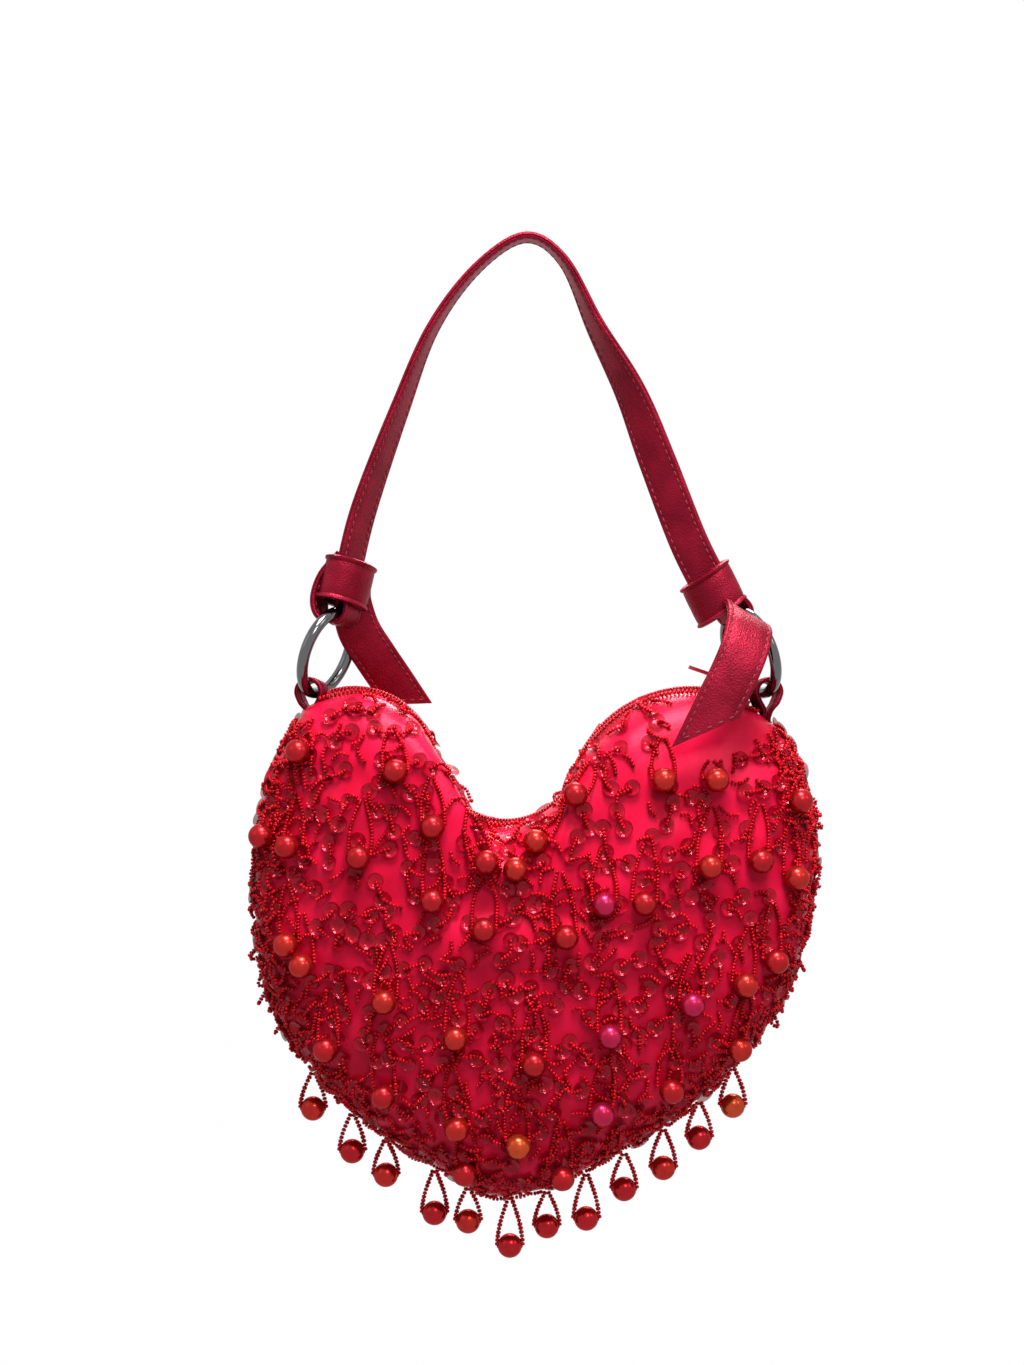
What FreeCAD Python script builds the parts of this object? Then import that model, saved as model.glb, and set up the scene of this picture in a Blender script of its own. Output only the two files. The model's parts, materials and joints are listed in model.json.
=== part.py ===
"""Heart shaped evening purse: two padded satin panels with a zipped top edge, hung by leather tabs
from two metal rings, a knotted leather strap through the rings, and beads and pearls sewn on.

Frame: +X to the right seen from the front, +Y towards the back, +Z up.
Origin: the point under the top of the strap where a hand holds it. Lengths are in millimetres.
"""

import FreeCAD
import Part
import math
import os

from FreeCAD import Vector

# Heart bag: overall size, shell and zip mouth
bag_width = 195.0
bag_height = 176.0
bag_depth = 54.0
bag_centre_x = 3.4
bag_top_drop = 158.0
panel_wall = 1.4
lining_wall = 0.6
lining_gap = 0.5
seam_gap = 0.2
mouth_half = 5.0
mouth_band = 9.0
overrun = 2.0

# Heart outline: lobe circles, dip circle and hand-picked points of the lower run
left_lobe_radius = 28.0
right_lobe_radius = 42.0
dip_radius = 26.0
left_lobe_x = -60.0
right_lobe_x = 58.0
left_corner_x = -78.0
right_corner_x = 87.0
lower_run_shares = [(0.477, -0.159), (0.499, -0.330), (0.459, -0.563), (0.325, -0.777),
                    (0.147, -0.920), (-0.038, -0.999), (-0.202, -0.932), (-0.366, -0.790),
                    (-0.469, -0.614), (-0.499, -0.380), (-0.474, -0.182)]
crown_shares = [(1.0, 0.0), (0.985, 0.24), (0.94, 0.45), (0.85, 0.66), (0.70, 0.84), (0.48, 0.955), (0.22, 1.0)]
heart_middle_share = 0.46

# Sagging fold across the middle of each panel: a shallow arc of a torus that rises out of the crown
fold_height = 3.0
fold_run_radius = 236.0
fold_tube_radius = 20.0
fold_drop_share = 0.5
fold_reach = 62.0

# Zip: tapes, teeth, end stops, slider and pull
tape_thickness = 0.8
tape_inset = 0.8
tape_parting = 1.0
seat_gap = 0.2
tooth_pitch = 2.6
tooth_height = 1.2
tooth_root = 1.1
tooth_width = 2.0
tooth_fill_share = 0.58
zip_end_left_deg = 19.0
zip_end_right_deg = 29.0
stop_room_deg = 3.0
stop_length_deg = 1.5
stop_margin_deg = 0.3
slider_clearance = 0.3
slider_plate = 1.2
slider_length = 11.0
slider_width = 7.6
slider_lip = 1.2
slider_rest_deg = 19.0
bail_width = 1.4
bail_height = 4.6
bail_length = 4.4
pull_pin_radius = 0.8
pull_pin_clearance = 0.06
pull_length = 17.0
pull_width = 5.4
pull_thickness = 1.2
pull_eye_radius = 1.9
pull_side_gap = 0.15
pull_window_length = 7.0
pull_window_width = 2.4

# Edge ropes of seed beads
rope_radius = 0.8
rope_rise = 1.4
rope_margin_deg = 3.0

# Rings and their tabs
ring_radius = 15.0
wire_radius = 2.0
ring_lean_deg = 21.0
ring_turn_deg = 25.0
tab_drop = 158.5
left_tab_x = -74.8
right_tab_x = 84.4
ring_clearance = 0.35
tab_wall = 1.6
tab_loop_width = 6.0
left_tab_stem = 4.6
right_tab_stem = 8.0
stem_thickness = 2.2
swing_limit_deg = 12.0
swing_room_deg = 14.0

# Strap, knots and tails
strap_width = 14.0
strap_thickness = 2.2
strap_rise_shares = [-0.94, -0.75, -0.47, -0.25, -0.085, 0.0, -0.065, -0.25, -0.43, -0.62, -0.84, -0.97]
strap_reach_shares = [-0.93, -0.84, -0.65, -0.48, -0.25, 0.0, 0.20, 0.37, 0.55, 0.69, 0.85, 0.97]
strap_twist_shares = [0.36, 0.34, 0.20, 0.08, 0.02, 0.0, 0.04, 0.20, 0.46, 0.66, 0.74, 0.76]
strap_steps = 4
strap_fall = 126.0
strap_spread = 67.0
knot_length = 16.0
knot_wall = 2.0
knot_gap = 0.8
knot_flat_share = 0.32
loop_width = 9.0
loop_wall = 2.0
tail_width = 15.5
tail_thickness = 2.0
left_tail_start = Vector(-64.4, 6.9, -128.1)
left_tail_end = Vector(-44.7, 18.6, -158.3)
left_tail_slants = (13.0, 10.1)
right_tail_start = Vector(81.5, -7.4, -132.1)
right_tail_end = Vector(66.1, -24.5, -165.4)
right_tail_slants = (16.0, 16.3)

# Pearls and bead loops
pearl_radius = 4.3
pearl_bore = 0.7
strand_radius = 0.7
strand_gap = 0.3
sewn_gap = 0.3
front_pearl_shares = [
    (-0.42, -0.118), (-0.245, -0.155), (-0.487, -0.285), (-0.438, -0.303), (-0.310, -0.322), (-0.180, -0.405),
    (-0.440, -0.495), (-0.412, -0.535), (-0.265, -0.602), (-0.370, -0.700), (-0.268, -0.790), (-0.140, -0.672),
    (-0.138, -0.852), (-0.003, -0.722), (-0.030, -0.885), (0.117, -0.822), (0.240, -0.780), (0.362, -0.702),
    (0.370, -0.572), (0.425, -0.528), (0.275, -0.608), (0.130, -0.668), (0.053, -0.474), (-0.090, -0.460),
    (0.120, -0.412), (0.190, -0.410), (0.306, -0.340), (0.396, -0.330), (0.462, -0.365), (0.470, -0.215),
    (0.225, -0.172), (0.318, -0.172), (0.070, -0.200), (0.000, -0.292), (-0.035, -0.345), (-0.086, -0.330),
    (-0.180, -0.262), (0.048, -0.955), (-0.125, -0.945)]
back_pearl_shares = [
    (-0.40, -0.14), (-0.27, -0.17), (-0.46, -0.31), (-0.33, -0.33), (-0.19, -0.36), (-0.43, -0.49),
    (-0.30, -0.52), (-0.15, -0.55), (-0.37, -0.67), (-0.24, -0.72), (-0.10, -0.75), (-0.16, -0.87),
    (0.02, -0.90), (0.14, -0.86), (0.05, -0.70), (0.20, -0.71), (0.32, -0.72), (0.38, -0.58),
    (0.26, -0.55), (0.12, -0.52), (-0.02, -0.45), (0.18, -0.37), (0.33, -0.40), (0.44, -0.42),
    (0.45, -0.25), (0.34, -0.20), (0.22, -0.18), (0.09, -0.24)]
fringe_shares = [-0.395, -0.325, -0.265, -0.178, -0.118, -0.045, 0.020, 0.090, 0.158, 0.228, 0.292, 0.352]
fringe_drop_shares = [0.075, 0.078, 0.072, 0.088, 0.070, 0.100, 0.072, 0.092, 0.074, 0.080, 0.074, 0.078]

parts_folder = "parts"


def flat(x, z, y=0.0):
    """A point of the bag's middle plane, or at depth y in front of or behind it."""
    return Vector(x, y, z)


def polar(centre, radius, degrees):
    """A point on a circle in the middle plane; 0 degrees is straight up and positive leans to +X."""
    a = math.radians(degrees)
    return centre + Vector(radius * math.sin(a), 0, radius * math.cos(a))


def degrees_of(centre, point):
    d = point - centre
    return math.degrees(math.atan2(d.x, d.z))


# Middle plane geometry: the lobes, the dip between them and the lower run

bag_top = -bag_top_drop
left_lobe = flat(left_lobe_x, bag_top - left_lobe_radius)
right_lobe = flat(right_lobe_x, bag_top - right_lobe_radius)


def dip_centre():
    """Centre of the circle that touches both lobes from above."""
    reach_left = left_lobe_radius + dip_radius
    reach_right = right_lobe_radius + dip_radius
    across = right_lobe - left_lobe
    span = across.Length
    along = (reach_left ** 2 - reach_right ** 2 + span ** 2) / (2 * span)
    rise = math.sqrt(reach_left ** 2 - along ** 2)
    unit = across.normalize()
    return left_lobe + unit * along + Vector(-unit.z, 0, unit.x) * rise


dip = dip_centre()
left_join_deg = degrees_of(left_lobe, dip)
right_join_deg = degrees_of(right_lobe, dip)
dip_left_deg = degrees_of(dip, left_lobe)
dip_right_deg = degrees_of(dip, right_lobe)
left_corner_deg = -math.degrees(math.asin((left_lobe_x - left_corner_x) / left_lobe_radius))
right_corner_deg = math.degrees(math.asin((right_corner_x - right_lobe_x) / right_lobe_radius))


def top_arcs(start_deg, end_deg):
    """The top run from left to right as (centre, radius, outward sign, first angle, last angle)."""
    return [(left_lobe, left_lobe_radius, 1, start_deg, left_join_deg),
            (dip, dip_radius, -1, dip_left_deg % 360, dip_right_deg % 360),
            (right_lobe, right_lobe_radius, 1, right_join_deg, end_deg)]


def arc_edge(centre, radius, first, last):
    points = [polar(centre, radius, a) for a in (first, (first + last) / 2, last)]
    return Part.Arc(*points).toShape()


def top_wire_edges(offset, start_deg, end_deg):
    """Edges of the top run moved outwards by offset."""
    return [arc_edge(c, r + s * offset, a, b) for c, r, s, a, b in top_arcs(start_deg, end_deg)]


def band(low, high, y_first, y_last, start_deg, end_deg):
    """A strip that follows the top run, between two offsets and two depths."""
    lower = top_wire_edges(low, start_deg, end_deg)
    upper = top_wire_edges(high, start_deg, end_deg)
    ends = [Part.makeLine(lower[-1].lastVertex().Point, upper[-1].lastVertex().Point),
            Part.makeLine(upper[0].firstVertex().Point, lower[0].firstVertex().Point)]
    wire = Part.Wire(Part.__sortEdges__(lower + upper + ends))
    face = Part.Face(wire)
    face.translate(Vector(0, y_first, 0))
    return face.extrude(Vector(0, y_last - y_first, 0))


def lobe_block(centre, radius, low, high, y_first, y_last, first_deg, last_deg):
    """A curved block on a lobe's circle, between two offsets, two depths and two angles."""
    inner = arc_edge(centre, radius + low, first_deg, last_deg)
    outer = arc_edge(centre, radius + high, first_deg, last_deg)
    ends = [Part.makeLine(inner.lastVertex().Point, outer.lastVertex().Point),
            Part.makeLine(outer.firstVertex().Point, inner.firstVertex().Point)]
    face = Part.Face(Part.Wire(Part.__sortEdges__([inner, outer] + ends)))
    face.translate(Vector(0, y_first, 0))
    return face.extrude(Vector(0, y_last - y_first, 0))


def place(share_x, share_z):
    """A place on the bag given as shares of its width and height."""
    return flat(bag_centre_x + share_x * bag_width, bag_top + share_z * bag_height)


def biarc(p, p_way, q, q_way):
    """Two arcs that leave p along p_way and reach q along q_way, touching halfway."""
    v = q - p
    t = p_way + q_way
    a = 2 * (1 - p_way.dot(q_way))
    b = 2 * v.dot(t)
    d = v.dot(v) / b if abs(a) < 1e-9 else (-b + math.sqrt(b * b + 4 * a * v.dot(v))) / (2 * a)
    middle = (p + q + (p_way - q_way) * d) * 0.5
    edges = []
    for start, way, end in ((p, p_way, middle), (q, q_way * -1, middle)):
        chord = end - start
        side = way.cross(chord).cross(way)
        bulge = chord.dot(chord) / (2 * chord.dot(side.normalize()))
        centre = start + side * bulge
        half = (start + end) * 0.5 - centre
        halfway = centre + half.normalize() * abs(bulge)
        edges.append(Part.Arc(start, halfway, end).toShape())
    return edges


def lower_edges():
    """The sides and bottom of the heart, from the right corner round to the left corner."""
    first = polar(right_lobe, right_lobe_radius, right_corner_deg)
    last = polar(left_lobe, left_lobe_radius, left_corner_deg)
    points = [first] + [place(*s) for s in lower_run_shares] + [last]
    ways = []
    for i, _ in enumerate(points):
        ahead = points[min(i + 1, len(points) - 1)]
        behind = points[max(i - 1, 0)]
        ways.append((ahead - behind).normalize())
    edges = []
    for i in range(len(points) - 1):
        edges += biarc(points[i], ways[i], points[i + 1], ways[i + 1])
    return edges


def heart_wire(inset):
    """The heart's outline in the middle plane, drawn in by inset."""
    edges = top_wire_edges(0, left_corner_deg, right_corner_deg) + lower_edges()
    wire = Part.Wire(Part.__sortEdges__(edges))
    if inset == 0:
        return wire
    return Part.Face(wire).makeOffset2D(-inset).OuterWire


heart_middle = flat(bag_centre_x, bag_top - heart_middle_share * bag_height)


def half_pillow(inset, side):
    """Half of the padded heart, drawn in by inset; side -1 is the front and 1 the back."""
    wire = heart_wire(inset)
    depth = bag_depth / 2 - inset
    sections = []
    for scale, rise in crown_shares:
        section = wire.scaled(scale, heart_middle)
        section.translate(Vector(0, side * (rise * depth + seam_gap / 2), 0))
        sections.append(section)
    return Part.makeLoft(sections, True, False)


def fold(side):
    """The swelling of the padding where the filled bag sags, across the middle of a panel."""
    centre = flat(bag_centre_x, bag_top - fold_drop_share * bag_height,
                  side * (bag_depth / 2 + fold_height - fold_run_radius))
    ring_shape = Part.makeTorus(fold_run_radius - fold_tube_radius, fold_tube_radius, centre, Vector(0, 0, 1))
    low_y = side * bag_depth / 4
    high_y = side * bag_depth
    corner = Vector(bag_centre_x - fold_reach, min(low_y, high_y), centre.z - fold_tube_radius)
    keep = Part.makeBox(2 * fold_reach, abs(high_y - low_y), 2 * fold_tube_radius, corner)
    return ring_shape.common(keep)


def padded_half(side):
    """Half of the padded heart with its fold."""
    return half_pillow(0, side).fuse(fold(side))


def mouth():
    """The gap along the top run that the zip closes."""
    return band(-mouth_band, mouth_band, -mouth_half, mouth_half, left_corner_deg, right_corner_deg)


def shell(outer, inner_inset, side):
    """An outer shape hollowed by the half pillow drawn in by inner_inset, and opened at the mouth."""
    body = outer.cut(half_pillow(inner_inset, side)).cut(mouth())
    return max(body.Solids, key=lambda solid: solid.Volume)


# Zip

def zip_tape(side):
    return band(-tape_inset - tape_thickness, -tape_inset,
                side * tape_parting, side * (mouth_half - seat_gap), -zip_end_left_deg, zip_end_right_deg)


def zip_run_point(arcs, length, offset):
    """The point a given length along the top run, moved outwards by offset."""
    for centre, radius, sign, first, last in arcs:
        span = math.radians(abs(last - first)) * radius
        if length <= span or centre is arcs[-1][0]:
            turn = math.degrees(length / radius) * (1 if last > first else -1)
            return polar(centre, radius + sign * offset, first + turn)
        length -= span


def zip_teeth(side):
    """One comb of teeth: a toothed outline that follows the top run, half a pitch apart front to back."""
    arcs = top_arcs(-zip_end_left_deg + stop_room_deg, zip_end_right_deg - stop_room_deg)
    total = sum(math.radians(abs(b - a)) * r for _, r, _, a, b in arcs)
    root = -tape_inset + seat_gap
    crest = root + tooth_root + tooth_height
    valley = root + tooth_root
    phase = tooth_pitch / 2 if side > 0 else 0
    count = int((total - phase) / tooth_pitch)
    upper = []
    for i in range(count):
        start = phase + i * tooth_pitch
        end = start + tooth_fill_share * tooth_pitch
        upper += [zip_run_point(arcs, start, valley), zip_run_point(arcs, start, crest),
                  zip_run_point(arcs, end, crest), zip_run_point(arcs, end, valley)]
    lower = [zip_run_point(arcs, phase + i * tooth_pitch, root) for i in range(count + 1)]
    wire = Part.makePolygon(upper + lower[::-1] + upper[:1])
    face = Part.Face(wire)
    face.translate(Vector(0, side * seam_gap / 2, 0))
    return face.extrude(Vector(0, side * tooth_width, 0))


def zip_stop(hand):
    """A clamped end stop across both tapes."""
    low = -tape_inset + seat_gap
    high = low + tooth_root + tooth_height
    if hand == "right":
        last = zip_end_right_deg - stop_margin_deg
        return lobe_block(right_lobe, right_lobe_radius, low, high, -tooth_width, tooth_width,
                          last - stop_length_deg, last)
    first = stop_margin_deg - zip_end_left_deg
    return lobe_block(left_lobe, left_lobe_radius, low, high, -tooth_width, tooth_width,
                      first, first + stop_length_deg)


teeth_top = -tape_inset + seat_gap + tooth_root + tooth_height
slider_low = teeth_top + slider_clearance
slider_high = slider_low + slider_plate
slider_span_deg = math.degrees(slider_length / right_lobe_radius)
pull_pin = polar(right_lobe, right_lobe_radius + slider_high + bail_height / 2, slider_rest_deg)


def turned_to_slider(shape):
    """Turns a piece drawn at the top of the right lobe to the slider's resting place."""
    shape.rotate(right_lobe, Vector(0, 1, 0), slider_rest_deg)
    return shape


def zip_slider():
    """The slider's cover plate with a lip on each side of the teeth, and two ears that hold the pull's pin."""
    half_deg = slider_span_deg / 2
    plate = lobe_block(right_lobe, right_lobe_radius, slider_low, slider_high,
                       -slider_width / 2, slider_width / 2, -half_deg, half_deg)
    lip_low = -tape_inset + slider_clearance
    for side in (-1, 1):
        lip = lobe_block(right_lobe, right_lobe_radius, lip_low, slider_low,
                         side * (slider_width / 2 - slider_lip), side * slider_width / 2, -half_deg, half_deg)
        plate = plate.fuse(lip)
    top = right_lobe_radius + slider_high
    for side in (-1, 1):
        near = side * (pull_width / 2 + pull_side_gap - bail_width)
        corner = Vector(right_lobe.x - bail_length / 2, min(near, near + side * bail_width),
                        right_lobe.z + top - slider_plate / 2)
        ear = Part.makeBox(bail_length, bail_width, bail_height + slider_plate / 2, corner)
        plate = plate.fuse(ear)
    pin_start = Vector(right_lobe.x, -pull_width / 2, right_lobe.z + top + bail_height / 2)
    pin = Part.makeCylinder(pull_pin_radius, pull_width, pin_start, Vector(0, 1, 0))
    return turned_to_slider(plate.fuse(pin).removeSplitter())


def zip_pull():
    """A flat pull with an eye round the slider's pin; it lies back along the closed zip."""
    eye_width = pull_width - 2 * bail_width
    centre = Vector(right_lobe.x, 0, right_lobe.z + right_lobe_radius + slider_high + bail_height / 2)
    eye = Part.makeCylinder(pull_eye_radius, eye_width, centre - Vector(0, eye_width / 2, 0), Vector(0, 1, 0))
    neck_length = pull_eye_radius + bail_length
    neck = Part.makeBox(neck_length, eye_width, pull_thickness,
                        centre + Vector(-neck_length, -eye_width / 2, -pull_thickness / 2))
    blade = Part.makeBox(pull_length - neck_length, pull_width, pull_thickness,
                         centre + Vector(-pull_length, -pull_width / 2, -pull_thickness / 2))
    window = Part.makeBox(pull_window_length, pull_window_width, pull_thickness + overrun,
                          centre + Vector(-pull_length + pull_window_width / 2, -pull_window_width / 2,
                                          -pull_thickness / 2 - overrun / 2))
    bore = Part.makeCylinder(pull_pin_radius + pull_pin_clearance, eye_width + overrun,
                             centre - Vector(0, eye_width / 2 + overrun / 2, 0), Vector(0, 1, 0))
    pull = eye.fuse(neck).fuse(blade).removeSplitter()
    upright = [e for e in pull.Edges if e.Length > pull_thickness * 0.99 and e.Length < pull_thickness * 1.01]
    pull = pull.makeFillet(pull_width / 5, [e for e in upright if e.BoundBox.XMax < centre.x - neck_length])
    return turned_to_slider(pull.cut(window).cut(bore))


# Ropes of seed beads sewn along the mouth

def edge_rope(side):
    """The bead rope that hides the stitches where a panel meets its zip tape."""
    depth = side * (mouth_half + rope_radius + sewn_gap)
    edges = top_wire_edges(rope_rise, rope_margin_deg - zip_end_left_deg, zip_end_right_deg - rope_margin_deg)
    path = Part.Wire(Part.__sortEdges__(edges))
    path.translate(Vector(0, depth, 0))
    start = path.Edges[0].firstVertex().Point
    way = path.Edges[0].tangentAt(path.Edges[0].FirstParameter)
    section = Part.Wire([Part.makeCircle(rope_radius, start, way)])
    return path.makePipeShell([section], True, False)


# Rings, tabs and the axis that the bag swings on

swing_axis_z = -tab_drop
tab_x = {"left": left_tab_x, "right": right_tab_x}
tail_runs = {"left": (left_tail_start, left_tail_end, left_tail_slants),
             "right": (right_tail_start, right_tail_end, right_tail_slants)}


def ring_frame(hand):
    """Centre, upward lean and cross direction of a ring; the rings lean together towards the strap."""
    inward = 1 if hand == "left" else -1
    lean = math.radians(ring_lean_deg)
    turn = math.radians(ring_turn_deg)
    up = Vector(inward * math.sin(lean), 0, math.cos(lean))
    side = Vector(math.cos(lean), 0, -inward * math.sin(lean))
    across = Vector(0, math.cos(turn), 0) + side * (inward * math.sin(turn))
    foot = Vector(tab_x[hand], 0, swing_axis_z)
    return foot + up * ring_radius, up, across


def ring(hand, tube):
    centre, up, across = ring_frame(hand)
    return Part.makeTorus(ring_radius, tube, centre, up.cross(across))


def swung(shape, degrees):
    turned = shape.copy()
    turned.rotate(Vector(0, 0, swing_axis_z), Vector(1, 0, 0), degrees)
    return turned


def ring_tab(hand):
    """A leather tab folded round the foot of a ring, with a stem sewn in between the bag's two panels."""
    centre, up, across = ring_frame(hand)
    foot = centre - up * ring_radius
    bore = wire_radius + ring_clearance
    outer = bore + tab_wall
    half = tab_loop_width / 2
    tab = Part.makeCylinder(outer, tab_loop_width, foot - across * half, across)
    stem_half = mouth_half - sewn_gap
    length = outer + (left_tab_stem if hand == "left" else right_tab_stem)
    stem = Part.makeBox(stem_thickness, 2 * stem_half, length, foot - Vector(stem_thickness / 2, stem_half, length))
    tab = tab.fuse(stem).removeSplitter()
    reach = half + overrun
    flare = bore + reach * math.tan(math.radians(swing_room_deg)) + reach ** 2 / (2 * ring_radius)
    for way in (across, across * -1):
        tab = tab.cut(Part.makeCone(bore, flare, reach, foot, way))
    return max(tab.Solids, key=lambda s: s.Volume)


# Strap, its loops round the rings, knots and tails

def strap_points():
    return [Vector(strap_spread * x, 0, strap_fall * z + strap_thickness / 2)
            for x, z in zip(strap_reach_shares, strap_rise_shares)]


def smooth_between(values, i, t):
    """The value a share t of the way from values[i] to the next, on a smooth curve through them all."""
    last = len(values) - 1
    a, b, c, d = (values[min(max(k, 0), last)] for k in (i - 1, i, i + 1, i + 2))
    return (b * 2 + (c - a) * t + (a * 2 - b * 5 + c * 4 - d) * t ** 2 + (b * 3 - a - c * 3 + d) * t ** 3) * 0.5


def strap_corners(point, way, twist_share):
    """Corners of the strap's flat section, turned from edge-on towards the front by a share of a right angle."""
    turn = math.radians(90) * twist_share
    wide = Vector(0, math.cos(turn), 0) + Vector(way.z, 0, -way.x) * math.sin(turn)
    thin = wide.cross(way).normalize()
    a = wide * (strap_width / 2)
    b = thin * (strap_thickness / 2)
    return [point - a - b, point + a - b, point + a + b, point - a + b]


def strap():
    """A flat strap that turns over the hand: short ruled lengths between its cross sections."""
    points = strap_points()
    spots = [(i, k / strap_steps) for i in range(len(points) - 1) for k in range(strap_steps)]
    spots.append((len(points) - 2, 1.0))
    line = [smooth_between(points, i, t) for i, t in spots]
    twists = [smooth_between(strap_twist_shares, i, t) for i, t in spots]
    rows = []
    for k, point in enumerate(line):
        way = (line[min(k + 1, len(line) - 1)] - line[max(k - 1, 0)]).normalize()
        rows.append(strap_corners(point, way, twists[k]))
    faces = []
    for near, far in zip(rows, rows[1:]):
        for j in range(4):
            first = Part.makeLine(near[j], near[(j + 1) % 4])
            second = Part.makeLine(far[j], far[(j + 1) % 4])
            faces.append(Part.makeRuledSurface(first, second))
    for end in (rows[0], rows[-1]):
        faces.append(Part.makeFilledFace(Part.makePolygon(end + end[:1]).Edges))
    body = Part.Solid(Part.Shell(faces))
    if body.Volume < 0:
        body.reverse()
    return body


def strap_end(hand):
    """Point, downward way, wide and thin directions of the strap where it enters a knot."""
    points = strap_points()
    i = 0 if hand == "left" else len(points) - 1
    inner = points[1] if hand == "left" else points[-2]
    way = (points[i] - inner).normalize()
    turn = math.radians(90) * strap_twist_shares[i]
    along = way * (-1 if hand == "left" else 1)
    wide = Vector(0, math.cos(turn), 0) + Vector(along.z, 0, -along.x) * math.sin(turn)
    return points[i], way, wide, wide.cross(way).normalize()


def rounded_bar(start, way, wide, thin, width, thickness, length):
    """A bar with rounded narrow sides, from start along way."""
    radius = thickness / 2
    straight = wide * (width / 2 - radius)
    out = wide * (width / 2)
    high = thin * radius
    edges = [Part.makeLine(start - straight + high, start + straight + high),
             Part.Arc(start + straight + high, start + out, start + straight - high).toShape(),
             Part.makeLine(start + straight - high, start - straight - high),
             Part.Arc(start - straight - high, start - out, start - straight + high).toShape()]
    return Part.Face(Part.Wire(edges)).extrude(way * length)


def knot_bar(hand, grow):
    """The outside of a knot, made larger all round by grow."""
    point, way, wide, thin = strap_end(hand)
    start = point - way * (knot_length * knot_flat_share + grow)
    width = strap_width + 2 * (knot_gap + knot_wall + grow)
    thickness = 3 * strap_thickness + 2 * (loop_wall + knot_wall + grow)
    return rounded_bar(start, way, wide, thin, width, thickness, knot_length + 2 * grow)


def knot_wrap(hand):
    """The turn of strap that is wound round the strap's end and tucked under itself."""
    point, way, wide, thin = strap_end(hand)
    start = point - way * (knot_length * knot_flat_share + overrun)
    hole_wide = strap_width + 2 * knot_gap
    hole_thick = 3 * strap_thickness + 2 * loop_wall
    inner = rounded_bar(start, way, wide, thin, hole_wide, hole_thick, knot_length + 2 * overrun)
    wrap = knot_bar(hand, 0).cut(inner)
    return wrap.cut(ring(hand, wire_radius + ring_clearance)).Solids[0]


def strap_loop_hull(hand, grow):
    """The outside of the strap's bight round a ring, made larger all round by grow."""
    centre, up, across = ring_frame(hand)
    head = centre + up * ring_radius
    half = wire_radius + ring_clearance + loop_wall + grow
    width = loop_width + 2 * grow
    start = head - across * (width / 2)
    bight = Part.makeCylinder(half, width, start, across)
    rise = strap_end(hand)[0] - head
    climb = rise - across * rise.dot(across)
    climb_way = Vector(climb).normalize()
    thin = across.cross(climb_way).normalize()
    corners = [start - thin * half, start + thin * half,
               start + thin * half + across * width, start - thin * half + across * width]
    legs = Part.Face(Part.makePolygon(corners + corners[:1])).extrude(climb_way * (climb.Length - knot_gap + grow))
    return bight.fuse(legs).removeSplitter()


def strap_loop(hand):
    """The strap's bight: it leaves the knot's rim, goes under the ring's head and comes back to the rim."""
    loop = strap_loop_hull(hand, 0).cut(ring(hand, wire_radius + ring_clearance))
    loop = loop.cut(knot_bar(hand, sewn_gap))
    return max(loop.Solids, key=lambda solid: solid.Volume)


def strap_tail(hand):
    """The strap's free end: it leaves the rim of a knot, hangs aside and is cut off at a slant."""
    start, end, slants = tail_runs[hand]
    way = (end - start).normalize()
    wide = Vector(way.z, 0, -way.x).normalize()
    a = wide * (tail_width / 2)
    top, bottom = (way * slant for slant in slants)
    if hand == "left":
        corners = [start - a, start + a + top, end + a, end - a + bottom]
    else:
        corners = [start - a + top, start + a, end + a + bottom, end - a]
    thick = wide.cross(way).normalize() * tail_thickness
    face = Part.Face(Part.makePolygon(corners + corners[:1]))
    face.translate(thick * -0.5)
    tail = face.extrude(thick).cut(knot_bar(hand, sewn_gap)).cut(ring(hand, wire_radius + ring_clearance))
    tail = tail.cut(strap_loop_hull(hand, sewn_gap))
    return max(tail.Solids, key=lambda solid: solid.Volume)


# Pearls on the panels, and the free fringe along the lower edge

def seated_pearl(pillow, at, side):
    """Where a pearl's centre lies when it rests a sewn gap off the padded panel."""
    target = pearl_radius + sewn_gap
    y = bag_depth / 2 + target
    excess = target
    while abs(excess) > sewn_gap / 10:
        excess = Part.Vertex(Vector(at.x, side * y, at.z)).distToShape(pillow)[0] - target
        y -= excess
    return Vector(at.x, side * y, at.z)


def drilled_pearl(centre, bore):
    """A pearl with a hole along X; its seam line is turned to the front, clear of the hole."""
    ball = Part.makeSphere(pearl_radius, centre)
    ball.rotate(centre, Vector(0, 0, 1), 90)
    reach = pearl_radius + overrun
    return ball.cut(Part.makeCylinder(bore, 2 * reach, centre - Vector(reach, 0, 0), Vector(1, 0, 0)))


def pearls(shares, side):
    pillow = padded_half(side)
    return Part.makeCompound([drilled_pearl(seated_pearl(pillow, place(*share), side), pearl_bore)
                              for share in shares])


def fringe_anchor(share):
    """The point off the lower edge where a fringe loop is sewn, square to the edge."""
    x = bag_centre_x + share * bag_width
    line = Part.makeLine(flat(x, heart_middle.z), flat(x, bag_top - 2 * bag_height))
    edges = lower_edges()
    hit = Part.Wire(Part.__sortEdges__(edges)).distToShape(line)[1][0][0]
    edge = min(edges, key=lambda e: e.distToShape(Part.Vertex(hit))[0])
    along = edge.tangentAt(edge.Curve.parameter(hit))
    outward = Vector(along.z, 0, -along.x)
    if outward.z > 0:
        outward = outward * -1
    return hit + outward * (strand_radius + sewn_gap)


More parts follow.
